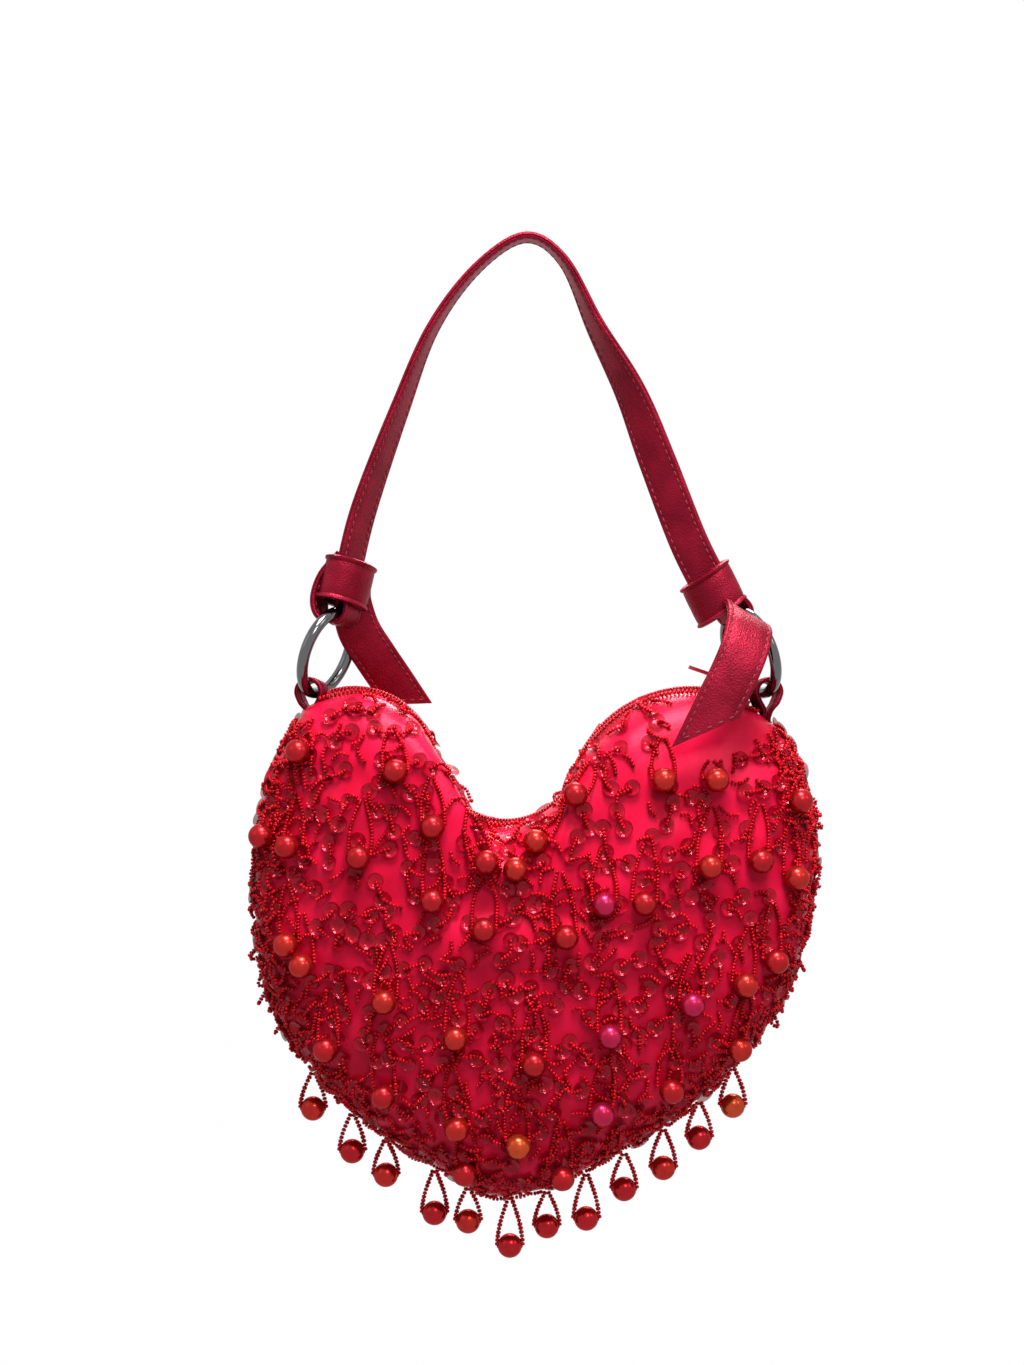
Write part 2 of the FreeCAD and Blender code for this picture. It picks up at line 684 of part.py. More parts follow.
def fringe_drop(share, drop_share):
    """One free drop: a bead loop sewn to the edge, carrying a pearl threaded crosswise."""
    anchor = fringe_anchor(share)
    drop = drop_share * bag_height
    centre = anchor - Vector(0, 0, drop)
    ball = drilled_pearl(centre, strand_radius + strand_gap)
    loop = Part.makeSphere(strand_radius, anchor)
    for side in (-1, 1):
        foot = centre + Vector(side * (pearl_radius + strand_radius), 0, 0)
        leg = foot - anchor
        loop = loop.fuse(Part.makeCylinder(strand_radius, leg.Length, anchor, leg))
        loop = loop.fuse(Part.makeSphere(strand_radius, foot))
    through = Part.makeCylinder(strand_radius, 2 * (pearl_radius + strand_radius),
                                centre - Vector(pearl_radius + strand_radius, 0, 0), Vector(1, 0, 0))
    return Part.makeCompound([ball, loop.fuse(through).removeSplitter()])


def build():
    """All pieces of the purse by name."""
    lining_inset = panel_wall + lining_gap
    front_panel = shell(padded_half(-1), panel_wall, -1)
    pieces = {
        "front_panel": front_panel,
        "back_panel": front_panel.mirror(Vector(0, 0, 0), Vector(0, 1, 0)),
        "front_lining": shell(half_pillow(lining_inset, -1), lining_inset + lining_wall, -1),
        "back_lining": shell(half_pillow(lining_inset, 1), lining_inset + lining_wall, 1),
        "zip_tape_front": zip_tape(-1),
        "zip_tape_back": zip_tape(1),
        "zip_teeth_front": zip_teeth(-1),
        "zip_teeth_back": zip_teeth(1),
        "zip_stop_left": zip_stop("left"),
        "zip_stop_right": zip_stop("right"),
        "zip_slider": zip_slider(),
        "zip_pull": zip_pull(),
        "front_edge_beads": edge_rope(-1),
        "back_edge_beads": edge_rope(1),
        "front_pearls": pearls(front_pearl_shares, -1),
        "back_pearls": pearls(back_pearl_shares, 1),
        "strap": strap(),
    }
    for hand in ("left", "right"):
        pieces["ring_" + hand] = ring(hand, wire_radius)
        pieces["ring_tab_" + hand] = ring_tab(hand)
        pieces["strap_loop_" + hand] = strap_loop(hand)
        pieces["knot_wrap_" + hand] = knot_wrap(hand)
        pieces["strap_tail_" + hand] = strap_tail(hand)
    for i, (share, drop_share) in enumerate(zip(fringe_shares, fringe_drop_shares)):
        pieces["fringe_drop_%02d" % (i + 1)] = fringe_drop(share, drop_share)
    return pieces


def main():
    os.makedirs(parts_folder, exist_ok=True)
    for name, shape in build().items():
        shape.exportStep(os.path.join(parts_folder, name + ".step"))


if __name__ == "__main__":
    main()
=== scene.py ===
import bmesh
import bpy
import json
import math
import random
import numpy as np
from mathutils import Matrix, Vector, kdtree, noise


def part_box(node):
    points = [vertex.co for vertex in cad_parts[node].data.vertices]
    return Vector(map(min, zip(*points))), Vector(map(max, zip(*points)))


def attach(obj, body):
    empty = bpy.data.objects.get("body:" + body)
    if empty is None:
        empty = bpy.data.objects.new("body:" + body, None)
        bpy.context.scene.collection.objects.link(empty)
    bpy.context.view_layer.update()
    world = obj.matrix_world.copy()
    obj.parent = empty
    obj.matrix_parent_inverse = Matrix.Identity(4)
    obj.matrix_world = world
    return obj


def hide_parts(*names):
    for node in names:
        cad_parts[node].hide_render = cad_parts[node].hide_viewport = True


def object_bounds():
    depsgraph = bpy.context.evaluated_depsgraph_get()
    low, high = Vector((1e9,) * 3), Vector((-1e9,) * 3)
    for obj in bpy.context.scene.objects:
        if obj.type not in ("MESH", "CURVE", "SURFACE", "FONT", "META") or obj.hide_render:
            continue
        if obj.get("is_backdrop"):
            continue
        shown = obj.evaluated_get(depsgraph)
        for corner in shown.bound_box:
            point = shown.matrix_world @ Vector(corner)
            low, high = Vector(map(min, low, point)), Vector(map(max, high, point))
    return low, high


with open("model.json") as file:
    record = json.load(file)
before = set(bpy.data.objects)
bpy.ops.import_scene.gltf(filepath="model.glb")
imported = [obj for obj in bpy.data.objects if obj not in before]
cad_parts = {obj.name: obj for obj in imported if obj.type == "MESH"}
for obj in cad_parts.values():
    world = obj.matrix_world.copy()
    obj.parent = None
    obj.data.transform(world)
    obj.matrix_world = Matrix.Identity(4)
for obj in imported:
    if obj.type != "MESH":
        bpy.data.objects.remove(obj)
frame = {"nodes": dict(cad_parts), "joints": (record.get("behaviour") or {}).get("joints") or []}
cad_low, cad_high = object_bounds()

# Stage: the purse hangs from its strap over a plain pale floor in a white room. One large soft lamp is
# above the front, with weaker ones in front, at both sides and behind. The camera is level with the rings.
scene = bpy.context.scene
scene.view_settings.view_transform = "Standard"


def nodes_of(tree):
    """Empties a node tree and gives a short way to add nodes to it."""
    tree.nodes.clear()
    return lambda kind: tree.nodes.new("ShaderNode" + kind)


def seen_directly(tree, add):
    """A factor that is 1 for what the camera, a reflection or glass sees, and 0 for light on the purse."""
    path = add("LightPath")
    total = path.outputs["Is Camera Ray"]
    for other in ("Is Glossy Ray", "Is Transmission Ray"):
        either = add("Math")
        either.operation = "MAXIMUM"
        tree.links.new(total, either.inputs[0])
        tree.links.new(path.outputs[other], either.inputs[1])
        total = either.outputs[0]
    return total


world = bpy.data.worlds.new("studio")
scene.world = world
world.use_nodes = True
tree = world.node_tree
add = nodes_of(tree)
glow, room, mix, out = add("Background"), add("Background"), add("MixShader"), add("OutputWorld")
glow.inputs["Strength"].default_value = 0.05
glow.inputs["Color"].default_value = (1.0, 0.98, 0.97, 1)
room.inputs["Color"].default_value = (1, 1, 1, 1)
room.inputs["Strength"].default_value = 1.0
tree.links.new(seen_directly(tree, add), mix.inputs[0])
tree.links.new(glow.outputs[0], mix.inputs[1])
tree.links.new(room.outputs[0], mix.inputs[2])
tree.links.new(mix.outputs[0], out.inputs[0])


def object_of(name, mesh):
    """A smooth shaded object at the origin."""
    mesh.shade_smooth()
    made = bpy.data.objects.new(name, mesh)
    scene.collection.objects.link(made)
    return made


def piece_of(name, form):
    """The object of a bmesh, which is used up."""
    mesh = bpy.data.meshes.new(name)
    form.to_mesh(mesh)
    form.free()
    return object_of(name, mesh)


floor_half = (4.0, 3.75, 1.0)
floor_middle_y, floor_drop = 1.25, 0.5
form = bmesh.new()
bmesh.ops.create_grid(form, x_segments=1, y_segments=1, size=1.0)
bmesh.ops.scale(form, vec=floor_half, verts=form.verts)
bmesh.ops.translate(form, vec=(0, floor_middle_y, cad_low.z - floor_drop), verts=form.verts)
floor = piece_of("floor", form)
floor_paint = bpy.data.materials.new("floor_paint")
floor_paint.use_nodes = True
tree = floor_paint.node_tree
add = nodes_of(tree)
matt, white, mix, out = add("BsdfDiffuse"), add("Emission"), add("MixShader"), add("OutputMaterial")
matt.inputs["Color"].default_value = (0.45, 0.45, 0.45, 1)
white.inputs["Strength"].default_value = 1.0
whiteness = add("Math")
whiteness.operation = "MULTIPLY"
whiteness.inputs[1].default_value = 0.995
tree.links.new(seen_directly(tree, add), whiteness.inputs[0])
tree.links.new(whiteness.outputs[0], mix.inputs[0])
tree.links.new(matt.outputs[0], mix.inputs[1])
tree.links.new(white.outputs[0], mix.inputs[2])
tree.links.new(mix.outputs[0], out.inputs[0])
floor.data.materials.append(floor_paint)
floor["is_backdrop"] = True

lamp_aim = Vector((0, 0, -0.22))
lamps = [("key", (0.08, -0.38, 0.82), 0.45, 23.0), ("left", (-1.0, -0.5, 0.4), 0.6, 0.8),
         ("right", (1.0, -0.5, 0.4), 0.3, 1.2), ("rim", (0.1, 0.7, 0.6), 0.5, 12.0),
         ("front", (0.28, -0.85, 0.4), 0.28, 3.8)]
for name, place, size, watts in lamps:
    lamp = bpy.data.lights.new(name, "AREA")
    lamp.size = size
    lamp.energy = watts
    holder = bpy.data.objects.new(name, lamp)
    holder.location = place
    holder.rotation_euler = (lamp_aim - Vector(place)).to_track_quat("-Z", "Y").to_euler()
    scene.collection.objects.link(holder)

camera = bpy.data.objects.new("camera", bpy.data.cameras.new("camera"))
camera.data.lens = 75.2
camera.data.sensor_width = 36
camera.location = (-0.0046, -1.0, -0.155)
camera.rotation_euler = (math.radians(90), 0, 0)
scene.collection.objects.link(camera)
scene.camera = camera

# Padded satin panels, front and back: crowned heart shells sewn together at the edge, bright red satin
# over padding, drawn into soft folds by the beadwork. A cloth lining follows each one inside.
mm = 0.001
sides = ((-1, "front"), (1, "back"))


def paint(name, colour, rough, **settings):
    """A Principled material; settings name the other sockets. Gives the material, its tree and its shader."""
    made = bpy.data.materials.new(name)
    made.use_nodes = True
    tree = made.node_tree
    shader = tree.nodes["Principled BSDF"]
    shader.inputs["Base Color"].default_value = (*colour, 1)
    shader.inputs["Roughness"].default_value = rough
    for key, value in settings.items():
        shader.inputs[key.replace("_", " ").title().replace("Ior", "IOR")].default_value = value
    return made, tree, shader


def mottle(tree, shader, low, high, scale, socket="Base Color"):
    """Varies a socket between two colours or numbers with soft noise in object space."""
    place = tree.nodes.new("ShaderNodeTexCoord")
    cloud = tree.nodes.new("ShaderNodeTexNoise")
    cloud.inputs["Scale"].default_value = scale
    cloud.inputs["Detail"].default_value = 4.0
    ramp = tree.nodes.new("ShaderNodeValToRGB")
    for element, value, position in zip(ramp.color_ramp.elements, (low, high), (0.32, 0.68)):
        element.color = (*value, 1) if isinstance(value, tuple) else (value, value, value, 1)
        element.position = position
    tree.links.new(place.outputs["Object"], cloud.inputs["Vector"])
    tree.links.new(cloud.outputs["Fac"], ramp.inputs["Fac"])
    tree.links.new(ramp.outputs["Color"], shader.inputs[socket])
    return place, ramp


def emboss(tree, shader, source, strength, distance):
    """Raises a pattern on the surface."""
    bump = tree.nodes.new("ShaderNodeBump")
    bump.inputs["Strength"].default_value = strength
    bump.inputs["Distance"].default_value = distance
    tree.links.new(source, bump.inputs["Height"])
    tree.links.new(bump.outputs["Normal"], shader.inputs["Normal"])


def weave(tree, place, scale, second=1.0):
    """Crossed fine ribs of a woven cloth; second scales the ribs that cross the first."""
    total = tree.nodes.new("ShaderNodeMath")
    total.operation = "ADD"
    for i, (direction, share) in enumerate((("X", 1.0), ("Z", second))):
        wave = tree.nodes.new("ShaderNodeTexWave")
        wave.bands_direction = direction
        wave.inputs["Scale"].default_value = scale * share
        wave.inputs["Distortion"].default_value = 0.6
        tree.links.new(place.outputs["Object"], wave.inputs["Vector"])
        tree.links.new(wave.outputs["Fac"], total.inputs[i])
    return total.outputs[0]


satin, tree, shader = paint("satin", (0.74, 0.008, 0.05), 0.3, metallic=0.06, specular_ior_level=0.25,
                            specular_tint=(1.0, 0.30, 0.40, 1), sheen_weight=0.08, sheen_roughness=0.35,
                            sheen_tint=(1.0, 0.35, 0.45, 1))
place, _ = mottle(tree, shader, (0.60, 0.003, 0.030), (0.86, 0.008, 0.060), 60)
emboss(tree, shader, weave(tree, place, 900, 0.6), 0.12, 0.0002)
lining_cloth, tree, shader = paint("lining_cloth", (0.40, 0.012, 0.04), 0.75)
place, _ = mottle(tree, shader, (0.34, 0.010, 0.03), (0.46, 0.015, 0.05), 90)
emboss(tree, shader, weave(tree, place, 700), 0.25, 0.0003)

half_depth, mouth_half, seam_half = 27.0, 5.0, 0.1
bag_width, bag_height = 195.0, 176.0
bag_middle_x, bag_top = 3.4, -158.0
heart_middle_share = 0.46
heart_middle = np.array((bag_middle_x, bag_top - heart_middle_share * bag_height))
left_lobe, left_radius, left_corner_reach = np.array((-60.0, -186.0)), 28.0, 18.0
right_lobe, right_radius, right_corner_reach = np.array((58.0, -200.0)), 42.0, 29.0
dip_radius = 26.0
lower_run_shares = [(0.477, -0.159), (0.499, -0.330), (0.459, -0.563), (0.325, -0.777), (0.147, -0.920),
                    (-0.038, -0.999), (-0.202, -0.932), (-0.366, -0.790), (-0.469, -0.614),
                    (-0.499, -0.380), (-0.474, -0.182)]
crown_shares = [(1.0, 0.0), (0.985, 0.24), (0.94, 0.45), (0.85, 0.66), (0.70, 0.84), (0.48, 0.955),
                (0.22, 1.0), (0.0, 1.01)]
lining_shares = (0.965, 0.86, 0.965)


def unit(v):
    """A vector, or each row of an array, brought to length 1."""
    v = np.asarray(v, float)
    return v / np.maximum(np.linalg.norm(v, axis=-1, keepdims=True), 1e-12)


def run_of(line):
    """The length from the start of a polyline to each of its points."""
    return np.concatenate(([0], np.cumsum(np.linalg.norm(np.diff(line, axis=0), axis=1))))


def even(line, count):
    """Evenly spaced points on a polyline."""
    run = run_of(line)
    spots = np.linspace(0, run[-1], count)
    return np.stack([np.interp(spots, run, line[:, k]) for k in range(line.shape[1])], 1)


def through(points, count):
    """Evenly spaced points on a smooth curve through the given ones."""
    p = np.array(points, float)
    way = (np.vstack((p[1:], p[-1:])) - np.vstack((p[:1], p[:-1]))) / 2
    way[0], way[-1] = p[1] - p[0], p[-1] - p[-2]
    t = np.linspace(0, 1, 33)[:-1, None]
    rows = []
    for i in range(len(p) - 1):
        rows.append((2 * t**3 - 3 * t**2 + 1) * p[i] + (t**3 - 2 * t**2 + t) * way[i]
                    + (3 * t**2 - 2 * t**3) * p[i + 1] + (t**3 - t**2) * way[i + 1])
    return even(np.vstack([*rows, p[-1:]]), count)


def arc(centre, radius, first, last, count):
    """Points on an arc, between two directions in degrees from straight up."""
    a = np.radians(np.linspace(first, last, count))
    return centre + radius * np.stack((np.sin(a), np.cos(a)), 1)


def bearing(start, end):
    """The direction from one point to another, in degrees from straight up."""
    return math.degrees(math.atan2(*(end - start)))


def top_run(first_deg, last_deg, offset=0.0):
    """The zipped top edge from left to right: left lobe, dip and right lobe, moved outwards by offset."""
    across = right_lobe - left_lobe
    span = np.linalg.norm(across)
    left_reach, right_reach = left_radius + dip_radius, right_radius + dip_radius
    along = (left_reach**2 - right_reach**2 + span**2) / (2 * span)
    rise = math.sqrt(left_reach**2 - along**2)
    way = across / span
    dip = left_lobe + way * along + np.array((-way[1], way[0])) * rise
    from_left, to_right = bearing(dip, left_lobe) % 360, bearing(dip, right_lobe) % 360
    return np.vstack((arc(left_lobe, left_radius + offset, first_deg, bearing(left_lobe, dip), 60),
                      arc(dip, dip_radius - offset, from_left, to_right, 60)[1:],
                      arc(right_lobe, right_radius + offset, bearing(right_lobe, dip), last_deg, 90)[1:]))


top_count, low_count, crown_count = 190, 300, 58
left_corner_deg = -math.degrees(math.asin(left_corner_reach / left_radius))
right_corner_deg = math.degrees(math.asin(right_corner_reach / right_radius))
top_edge = even(top_run(left_corner_deg, right_corner_deg), top_count)
low_points = [(bag_middle_x + x * bag_width, bag_top + z * bag_height) for x, z in lower_run_shares]
low_edge = through([top_edge[-1], *low_points, top_edge[0]], low_count + 1)[1:-1]
outline = np.vstack((top_edge, low_edge))
crown = through(crown_shares, 400)

# Places that a tail or a ring comes near when the bag swings, as x, z, radius and side (0 for both)
clear_spots = [(66.0, -166.0, 17.0, -1), (54.0, -181.0, 10.5, -1), (-46.0, -160.0, 18.0, 1),
               (-74.8, -158.5, 11.5, 0), (84.4, -158.5, 11.5, 0)]
fold_height, fold_run, fold_tube, fold_reach = 3.0, 236.0, 20.0, 62.0
fold_z, fold_wander, fold_softness = -246.0, 2.5, 0.6
dent_pitch, wide_dent, small_dent, small_dent_share = 26.0, 1.5, 0.9, 2.3
pleat_z, pleat_band, pleat_pitch, pleat_height = -205.0, 26.0, 5.5, 1.3
padding_rise, calm_reach = 0.35, 1.7
edge_columns, pole_columns, crowding = 9, 3, 1.25


def nearness(point, side):
    """How near a point lies to a place that is kept clear: under 1 is inside."""
    return min(math.hypot(point[0] - x, point[2] - z) / r for x, z, r, s in clear_spots if s in (0, side))


def folds(point, side):
    """How far the padding stands out beyond the plain crown: soft dents, pleats below the zip and the sag."""
    x, y, z = point
    place = Vector((x / dent_pitch, side * 3.1, z / dent_pitch))
    soft = noise.noise(place) * wide_dent + noise.noise(place * small_dent_share) * small_dent
    fade = math.exp(-(((z - pleat_z) / pleat_band) ** 2))
    pleat = pleat_height * math.sin(x / pleat_pitch + 1.5 * noise.noise(place * 0.7)) * fade
    below = z - fold_z + fold_wander * math.sin(x / 27 + side)
    beside = x - bag_middle_x
    sag = 0.0
    if abs(below) < fold_tube and abs(beside) < fold_reach:
        run = fold_run - fold_tube + math.sqrt(fold_tube**2 - below**2)
        sag = math.sqrt(run**2 - beside**2) - fold_run + half_depth + fold_height - abs(y)
        sag = (sag + math.sqrt(sag**2 + fold_softness)) / 2
    calm = min(1.0, (nearness(point, side) / calm_reach) ** 2)
    return (padding_rise + soft + pleat) * calm + sag


def outward_normals(points, side):
    """The outward direction at each point of a panel's grid, straight out at its middle."""
    around = np.roll(points, -1, 0) - np.roll(points, 1, 0)
    normals = unit(np.cross(around, np.gradient(points, axis=1)))
    normals *= np.sign(normals[:, :, 1:2] * side + 1e-9)
    normals[:, -pole_columns:] = (0, side, 0)
    return normals


def panel_grid(side):
    """Points and outward normals of a panel: around its outline, then from the edge to the middle."""
    points = np.zeros((len(outline), crown_count, 3))
    steps = np.arange(len(crown))
    for i, edge in enumerate(outline):
        from_corner = min(i, top_count - 1 - i) / edge_columns if i < top_count else 0
        lift = mouth_half / half_depth * max(0.0, min(1.0, from_corner))
        start = np.interp(lift, crown[:, 1], steps)
        spots = start + (steps[-1] - start) * np.linspace(0, 1, crown_count) ** crowding
        flat = heart_middle + (edge - heart_middle) * np.interp(spots, steps, crown[:, 0])[:, None]
        rise = np.interp(spots, steps, crown[:, 1])
        points[i] = np.stack((flat[:, 0], side * (seam_half + rise * half_depth), flat[:, 1]), 1)
    normals = outward_normals(points, side)
    for i, k in np.ndindex(len(outline), crown_count):
        points[i, k] += normals[i, k] * folds(points[i, k], side) * min(1.0, k / edge_columns)
    return points, outward_normals(points, side)


def swept(rows, ends):
    """A bmesh skin extruded from a closed row of points through the others. Its ends are "open", closed by
    "caps", or drawn together to a "pole" at the last row."""
    form = bmesh.new()
    ring = [form.verts.new(p) for p in rows[0] * mm]
    edges = [form.edges.new(pair) for pair in zip(ring, ring[1:] + ring[:1])]
    for row in rows[1:]:
        made = bmesh.ops.extrude_edge_only(form, edges=edges)["geom"]
        fresh = {part for part in made if isinstance(part, bmesh.types.BMVert)}
        ring = [next(e.other_vert(v) for e in v.link_edges if e.other_vert(v) in fresh) for v in ring]
        for v, p in zip(ring, row * mm):
            v.co = p
        new_edges = [part for part in made if isinstance(part, bmesh.types.BMEdge)]
        edges = [e for e in new_edges if fresh.issuperset(e.verts)]
    if ends == "caps":
        bmesh.ops.holes_fill(form, edges=[e for e in form.edges if e.is_boundary], sides=0)
    elif ends == "pole":
        bmesh.ops.pointmerge(form, verts=ring, merge_co=ring[0].co.copy())
    bmesh.ops.recalc_face_normals(form, faces=form.faces)
    return form


def dress(obj, material, body, slot, *nodes):
    """Gives a piece its material and body, and hides the solids that it stands for; slot is not used."""
    obj.data.materials.append(material)
    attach(obj, body)
    if nodes:
        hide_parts(*nodes)
    return obj


grids, finders = {}, {}
for side, word in sides:
    points, normals = panel_grid(side)
    grids[side] = points, normals
    flat_points, flat_normals = points.reshape(-1, 3), normals.reshape(-1, 3)
    finder = kdtree.KDTree(len(flat_points))
    for i, p in enumerate(flat_points):
        finder.insert(p, i)
    finder.balance()
    finders[side] = finder, flat_points, flat_normals
    rows = points.transpose(1, 0, 2)
    panel = piece_of(word + "_satin", swept(rows, "pole"))
    dress(panel, satin, "bag", "satin", word + "_panel")
    middle = np.array((heart_middle[0], 0, heart_middle[1]))
    inner = piece_of(word + "_lining_cloth", swept(middle + (rows - middle) * lining_shares, "pole"))
    dress(inner, lining_cloth, "bag", "lining", word + "_lining")


def settle(p, side):
    """The point p brought down to a panel's surface, and the outward normal there."""
    finder, points, normals = finders[side]
    _, i, _ = finder.find(p)
    n = normals[i]
    return np.asarray(p) - n * np.dot(np.asarray(p) - points[i], n), n


def off_panel(p, side):
    """How far p settles from the nearest point of a panel: large beyond the panel's edge."""
    finder, points, _ = finders[side]
    return np.linalg.norm(settle(p, side)[0] - points[finder.find(p)[1]])


# Pearls: lacquered plastic beads drilled crosswise, orange-red with a few magenta and golden ones,
# each carried at the end of a strand of seed beads and lying on the satin where the solid lies.
chance = random.Random(11)


def turned(profile, count, axis=(1, 0, 0)):
    """Vertices and faces of a form turned about an axis; profile holds radius and place along the axis."""
    form = bmesh.new()
    line = []
    for radius, along in profile:
        line.append(form.verts.new((along, radius, 0) if axis[0] else (radius, 0, along)))
    for pair in zip(line, line[1:]):
        form.edges.new(pair)
    bmesh.ops.spin(form, geom=form.verts[:] + form.edges[:], cent=(0, 0, 0), axis=axis, dvec=(0, 0, 0),
                   angle=2 * math.pi, steps=count, use_merge=True)
    bmesh.ops.recalc_face_normals(form, faces=form.faces)
    form.verts.index_update()
    verts = np.array([v.co for v in form.verts])
    faces = np.array([[v.index for v in face.verts] for face in form.faces])
    form.free()
    return verts, faces


def copies(shape, spots):
    """Vertices and faces of a shape set at each spot: place, way of its X, way of its Z and scale."""
    verts, faces = shape
    made = []
    for p, along, up, scale in spots:
        x = unit(along)
        z = unit(up - x * np.dot(up, x))
        y = np.cross(z, x)
        made.append(p + scale * (verts[:, :1] * x + verts[:, 1:2] * y + verts[:, 2:] * z))
    steps = np.arange(len(spots)) * len(verts)
    return np.vstack(made), (faces[None] + steps[:, None, None]).reshape(-1, faces.shape[1])


def joined(name, verts, faces):
    """One object of many copies."""
    mesh = bpy.data.meshes.new(name)
    mesh.from_pydata((verts * mm).tolist(), [], faces.tolist())
    mesh.update()
    return object_of(name, mesh)


def scatter(name, shape, spots, material, body, slot, *nodes):
    """A piece of copies of one shape."""
    return dress(joined(name, *copies(shape, spots)), material, body, slot, *nodes)


def tinted(obj, colours):
    """Keeps a colour on each vertex of a piece."""
    layer = obj.data.color_attributes.new("tint", "FLOAT_COLOR", "POINT")
    values = np.array([(*colour, 1.0) for colour in colours], np.float32)
    layer.data.foreach_set("color", values.ravel())


def tint_paint(name, rough, **settings):
    """A material that takes its colour from the piece's tints, slightly clouded."""
    made, tree, shader = paint(name, (0.6, 0.05, 0.04), rough, **settings)
    tint = tree.nodes.new("ShaderNodeAttribute")
    tint.attribute_name = "tint"
    _, ramp = mottle(tree, shader, (0.82, 0.78, 0.78), (1.0, 1.0, 1.0), 420)
    blend = tree.nodes.new("ShaderNodeMix")
    blend.data_type = "RGBA"
    blend.blend_type = "MULTIPLY"
    blend.inputs["Factor"].default_value = 1.0
    tree.links.new(tint.outputs["Color"], blend.inputs["A"])
    tree.links.new(ramp.outputs["Color"], blend.inputs["B"])
    tree.links.new(blend.outputs["Result"], shader.inputs["Base Color"])
    return made


pearl_paint = tint_paint("pearl_lacquer", 0.27, metallic=0.72, ior=1.25, specular_ior_level=0.2,
                         specular_tint=(0.7, 0.4, 0.4, 1), coat_weight=0.12, coat_roughness=0.12)
bead_paint = tint_paint("seed_bead_glass", 0.14, metallic=0.3, ior=1.3, specular_ior_level=0.4,
                        specular_tint=(1.0, 0.36, 0.4, 1))
pearl_radius, hole_radius_share, hole_mouth_share = 4.3, 0.10, 0.93
pearl_round = [(math.sin(a), -math.cos(a)) for a in np.radians(np.linspace(9, 171, 17))]
pearl_profile = [(hole_radius_share, -hole_mouth_share), *pearl_round, (hole_radius_share, hole_mouth_share)]
pearl_shape = turned(pearl_profile, 24)
bead_shape = turned([(0.28, -0.52), (0.64, -0.38), (0.74, 0.0), (0.64, 0.38), (0.28, 0.52)], 7)
bead_pitch, bead_lift, size_spread = 1.14, 0.9, (0.9, 1.06)
bead_tints = [(0.50, 0.003, 0.010), (0.60, 0.004, 0.014), (0.38, 0.002, 0.008), (0.68, 0.008, 0.022)]
pearl_tints = [(0.43, 0.012, 0.017)] * 4 + [(0.47, 0.022, 0.017)] * 2
magenta_tint, magenta_spots = (0.48, 0.014, 0.065), [(28, -273), (56, -262), (25, -301), (27, -227)]
golden_tint = (0.54, 0.065, 0.02)
golden_spots = [(-96, -238), (-78, -293), (69, -300), (-3, -312), (-5, -334)]
odd_pearl_reach, ball_apart = 7.0, 2.0


def pearl_tint(centre):
    """Orange-red by chance, magenta or golden where the photograph shows such a pearl."""
    for colour, spots in ((magenta_tint, magenta_spots), (golden_tint, golden_spots)):
        nearest = min(math.hypot(centre[0] - x, centre[2] - z) for x, z in spots)
        if centre[1] < 1 and nearest < odd_pearl_reach:
            return colour
    return chance.choice(pearl_tints)


def centres_of(node):
    """The middles of a node's separate balls: vertices that edges join share the lowest number among them."""
    mesh = frame["nodes"][node].data
    spots = np.array([v.co for v in mesh.vertices]) / mm
    ends = np.array([e.vertices for e in mesh.edges])
    label = np.arange(len(spots))
    before = None
    while before is None or (label != before).any():
        before = label.copy()
        low = np.minimum(label[ends[:, 0]], label[ends[:, 1]])
        np.minimum.at(label, ends[:, 0], low)
        np.minimum.at(label, ends[:, 1], low)
        label = label[label]
    found = []
    for k in np.unique(label):
        group = spots[label == k]
        middle = (group.min(0) + group.max(0)) / 2
        if all(np.linalg.norm(middle - f) > ball_apart for f in found):
            found.append(middle)
    return found


def bead_line(line, up, pitch=bead_pitch, size=1.0):
    """Seed beads threaded along a polyline; up is about square to it."""
    line = np.asarray(line, float)
    spots = even(line, max(3, int(run_of(line)[-1] / pitch)) + 1)
    up = np.asarray(up, float)
    beads = []
    for a, b in zip(spots, spots[1:]):
        way = unit(b - a)
        square = up if abs(np.dot(unit(up), way)) < 0.95 else up[[1, 2, 0]]
        beads.append(((a + b) / 2, way, square, size * chance.uniform(*size_spread)))
    return beads


def string_of(name, spots, *nodes):
    """A piece of threaded beads on the bag, each bead of one tint."""
    obj = scatter(name, bead_shape, spots, bead_paint, "bag", "seed_beads", *nodes)
    colours = [chance.choice(bead_tints) for _ in spots]
    tinted(obj, np.repeat(colours, len(bead_shape[0]), axis=0))


strand_rises, short_rise, least_rise, rise_step, strand_lean = (17, 23), 8.0, 5.0, 1.0, 2.0
strand_clear, strand_edge, hole_leans = 1.1, 2.0, (0.2, 0.25)
anchor_half, hole_half, hole_rise, strand_bow = 0.7, 4.1, 0.6, 1.3
lift_off_share = 0.55


def strand_leg(top, pearl, hand, side):
    """One leg of a strand: from its stitch on the satin down to an end of the pearl's hole."""
    steps = []
    start_x, end_x = top[0] + hand * anchor_half, pearl[0] + hand * hole_half
    for t in np.linspace(0, 1, 12):
        x = start_x + t * (end_x - start_x) + hand * strand_bow * math.sin(math.pi * t)
        z = top[2] + t * (pearl[2] + hole_rise - top[2])
        p, n = settle((x, top[1] + t * (pearl[1] - top[1]), z), side)
        p = p + n * bead_lift
        p[1] += max(0.0, (t - lift_off_share) / (1 - lift_off_share)) ** 1.5 * (pearl[1] - p[1])
        steps.append(p)
    return bead_line(through(steps, 40), (0, side, 0))


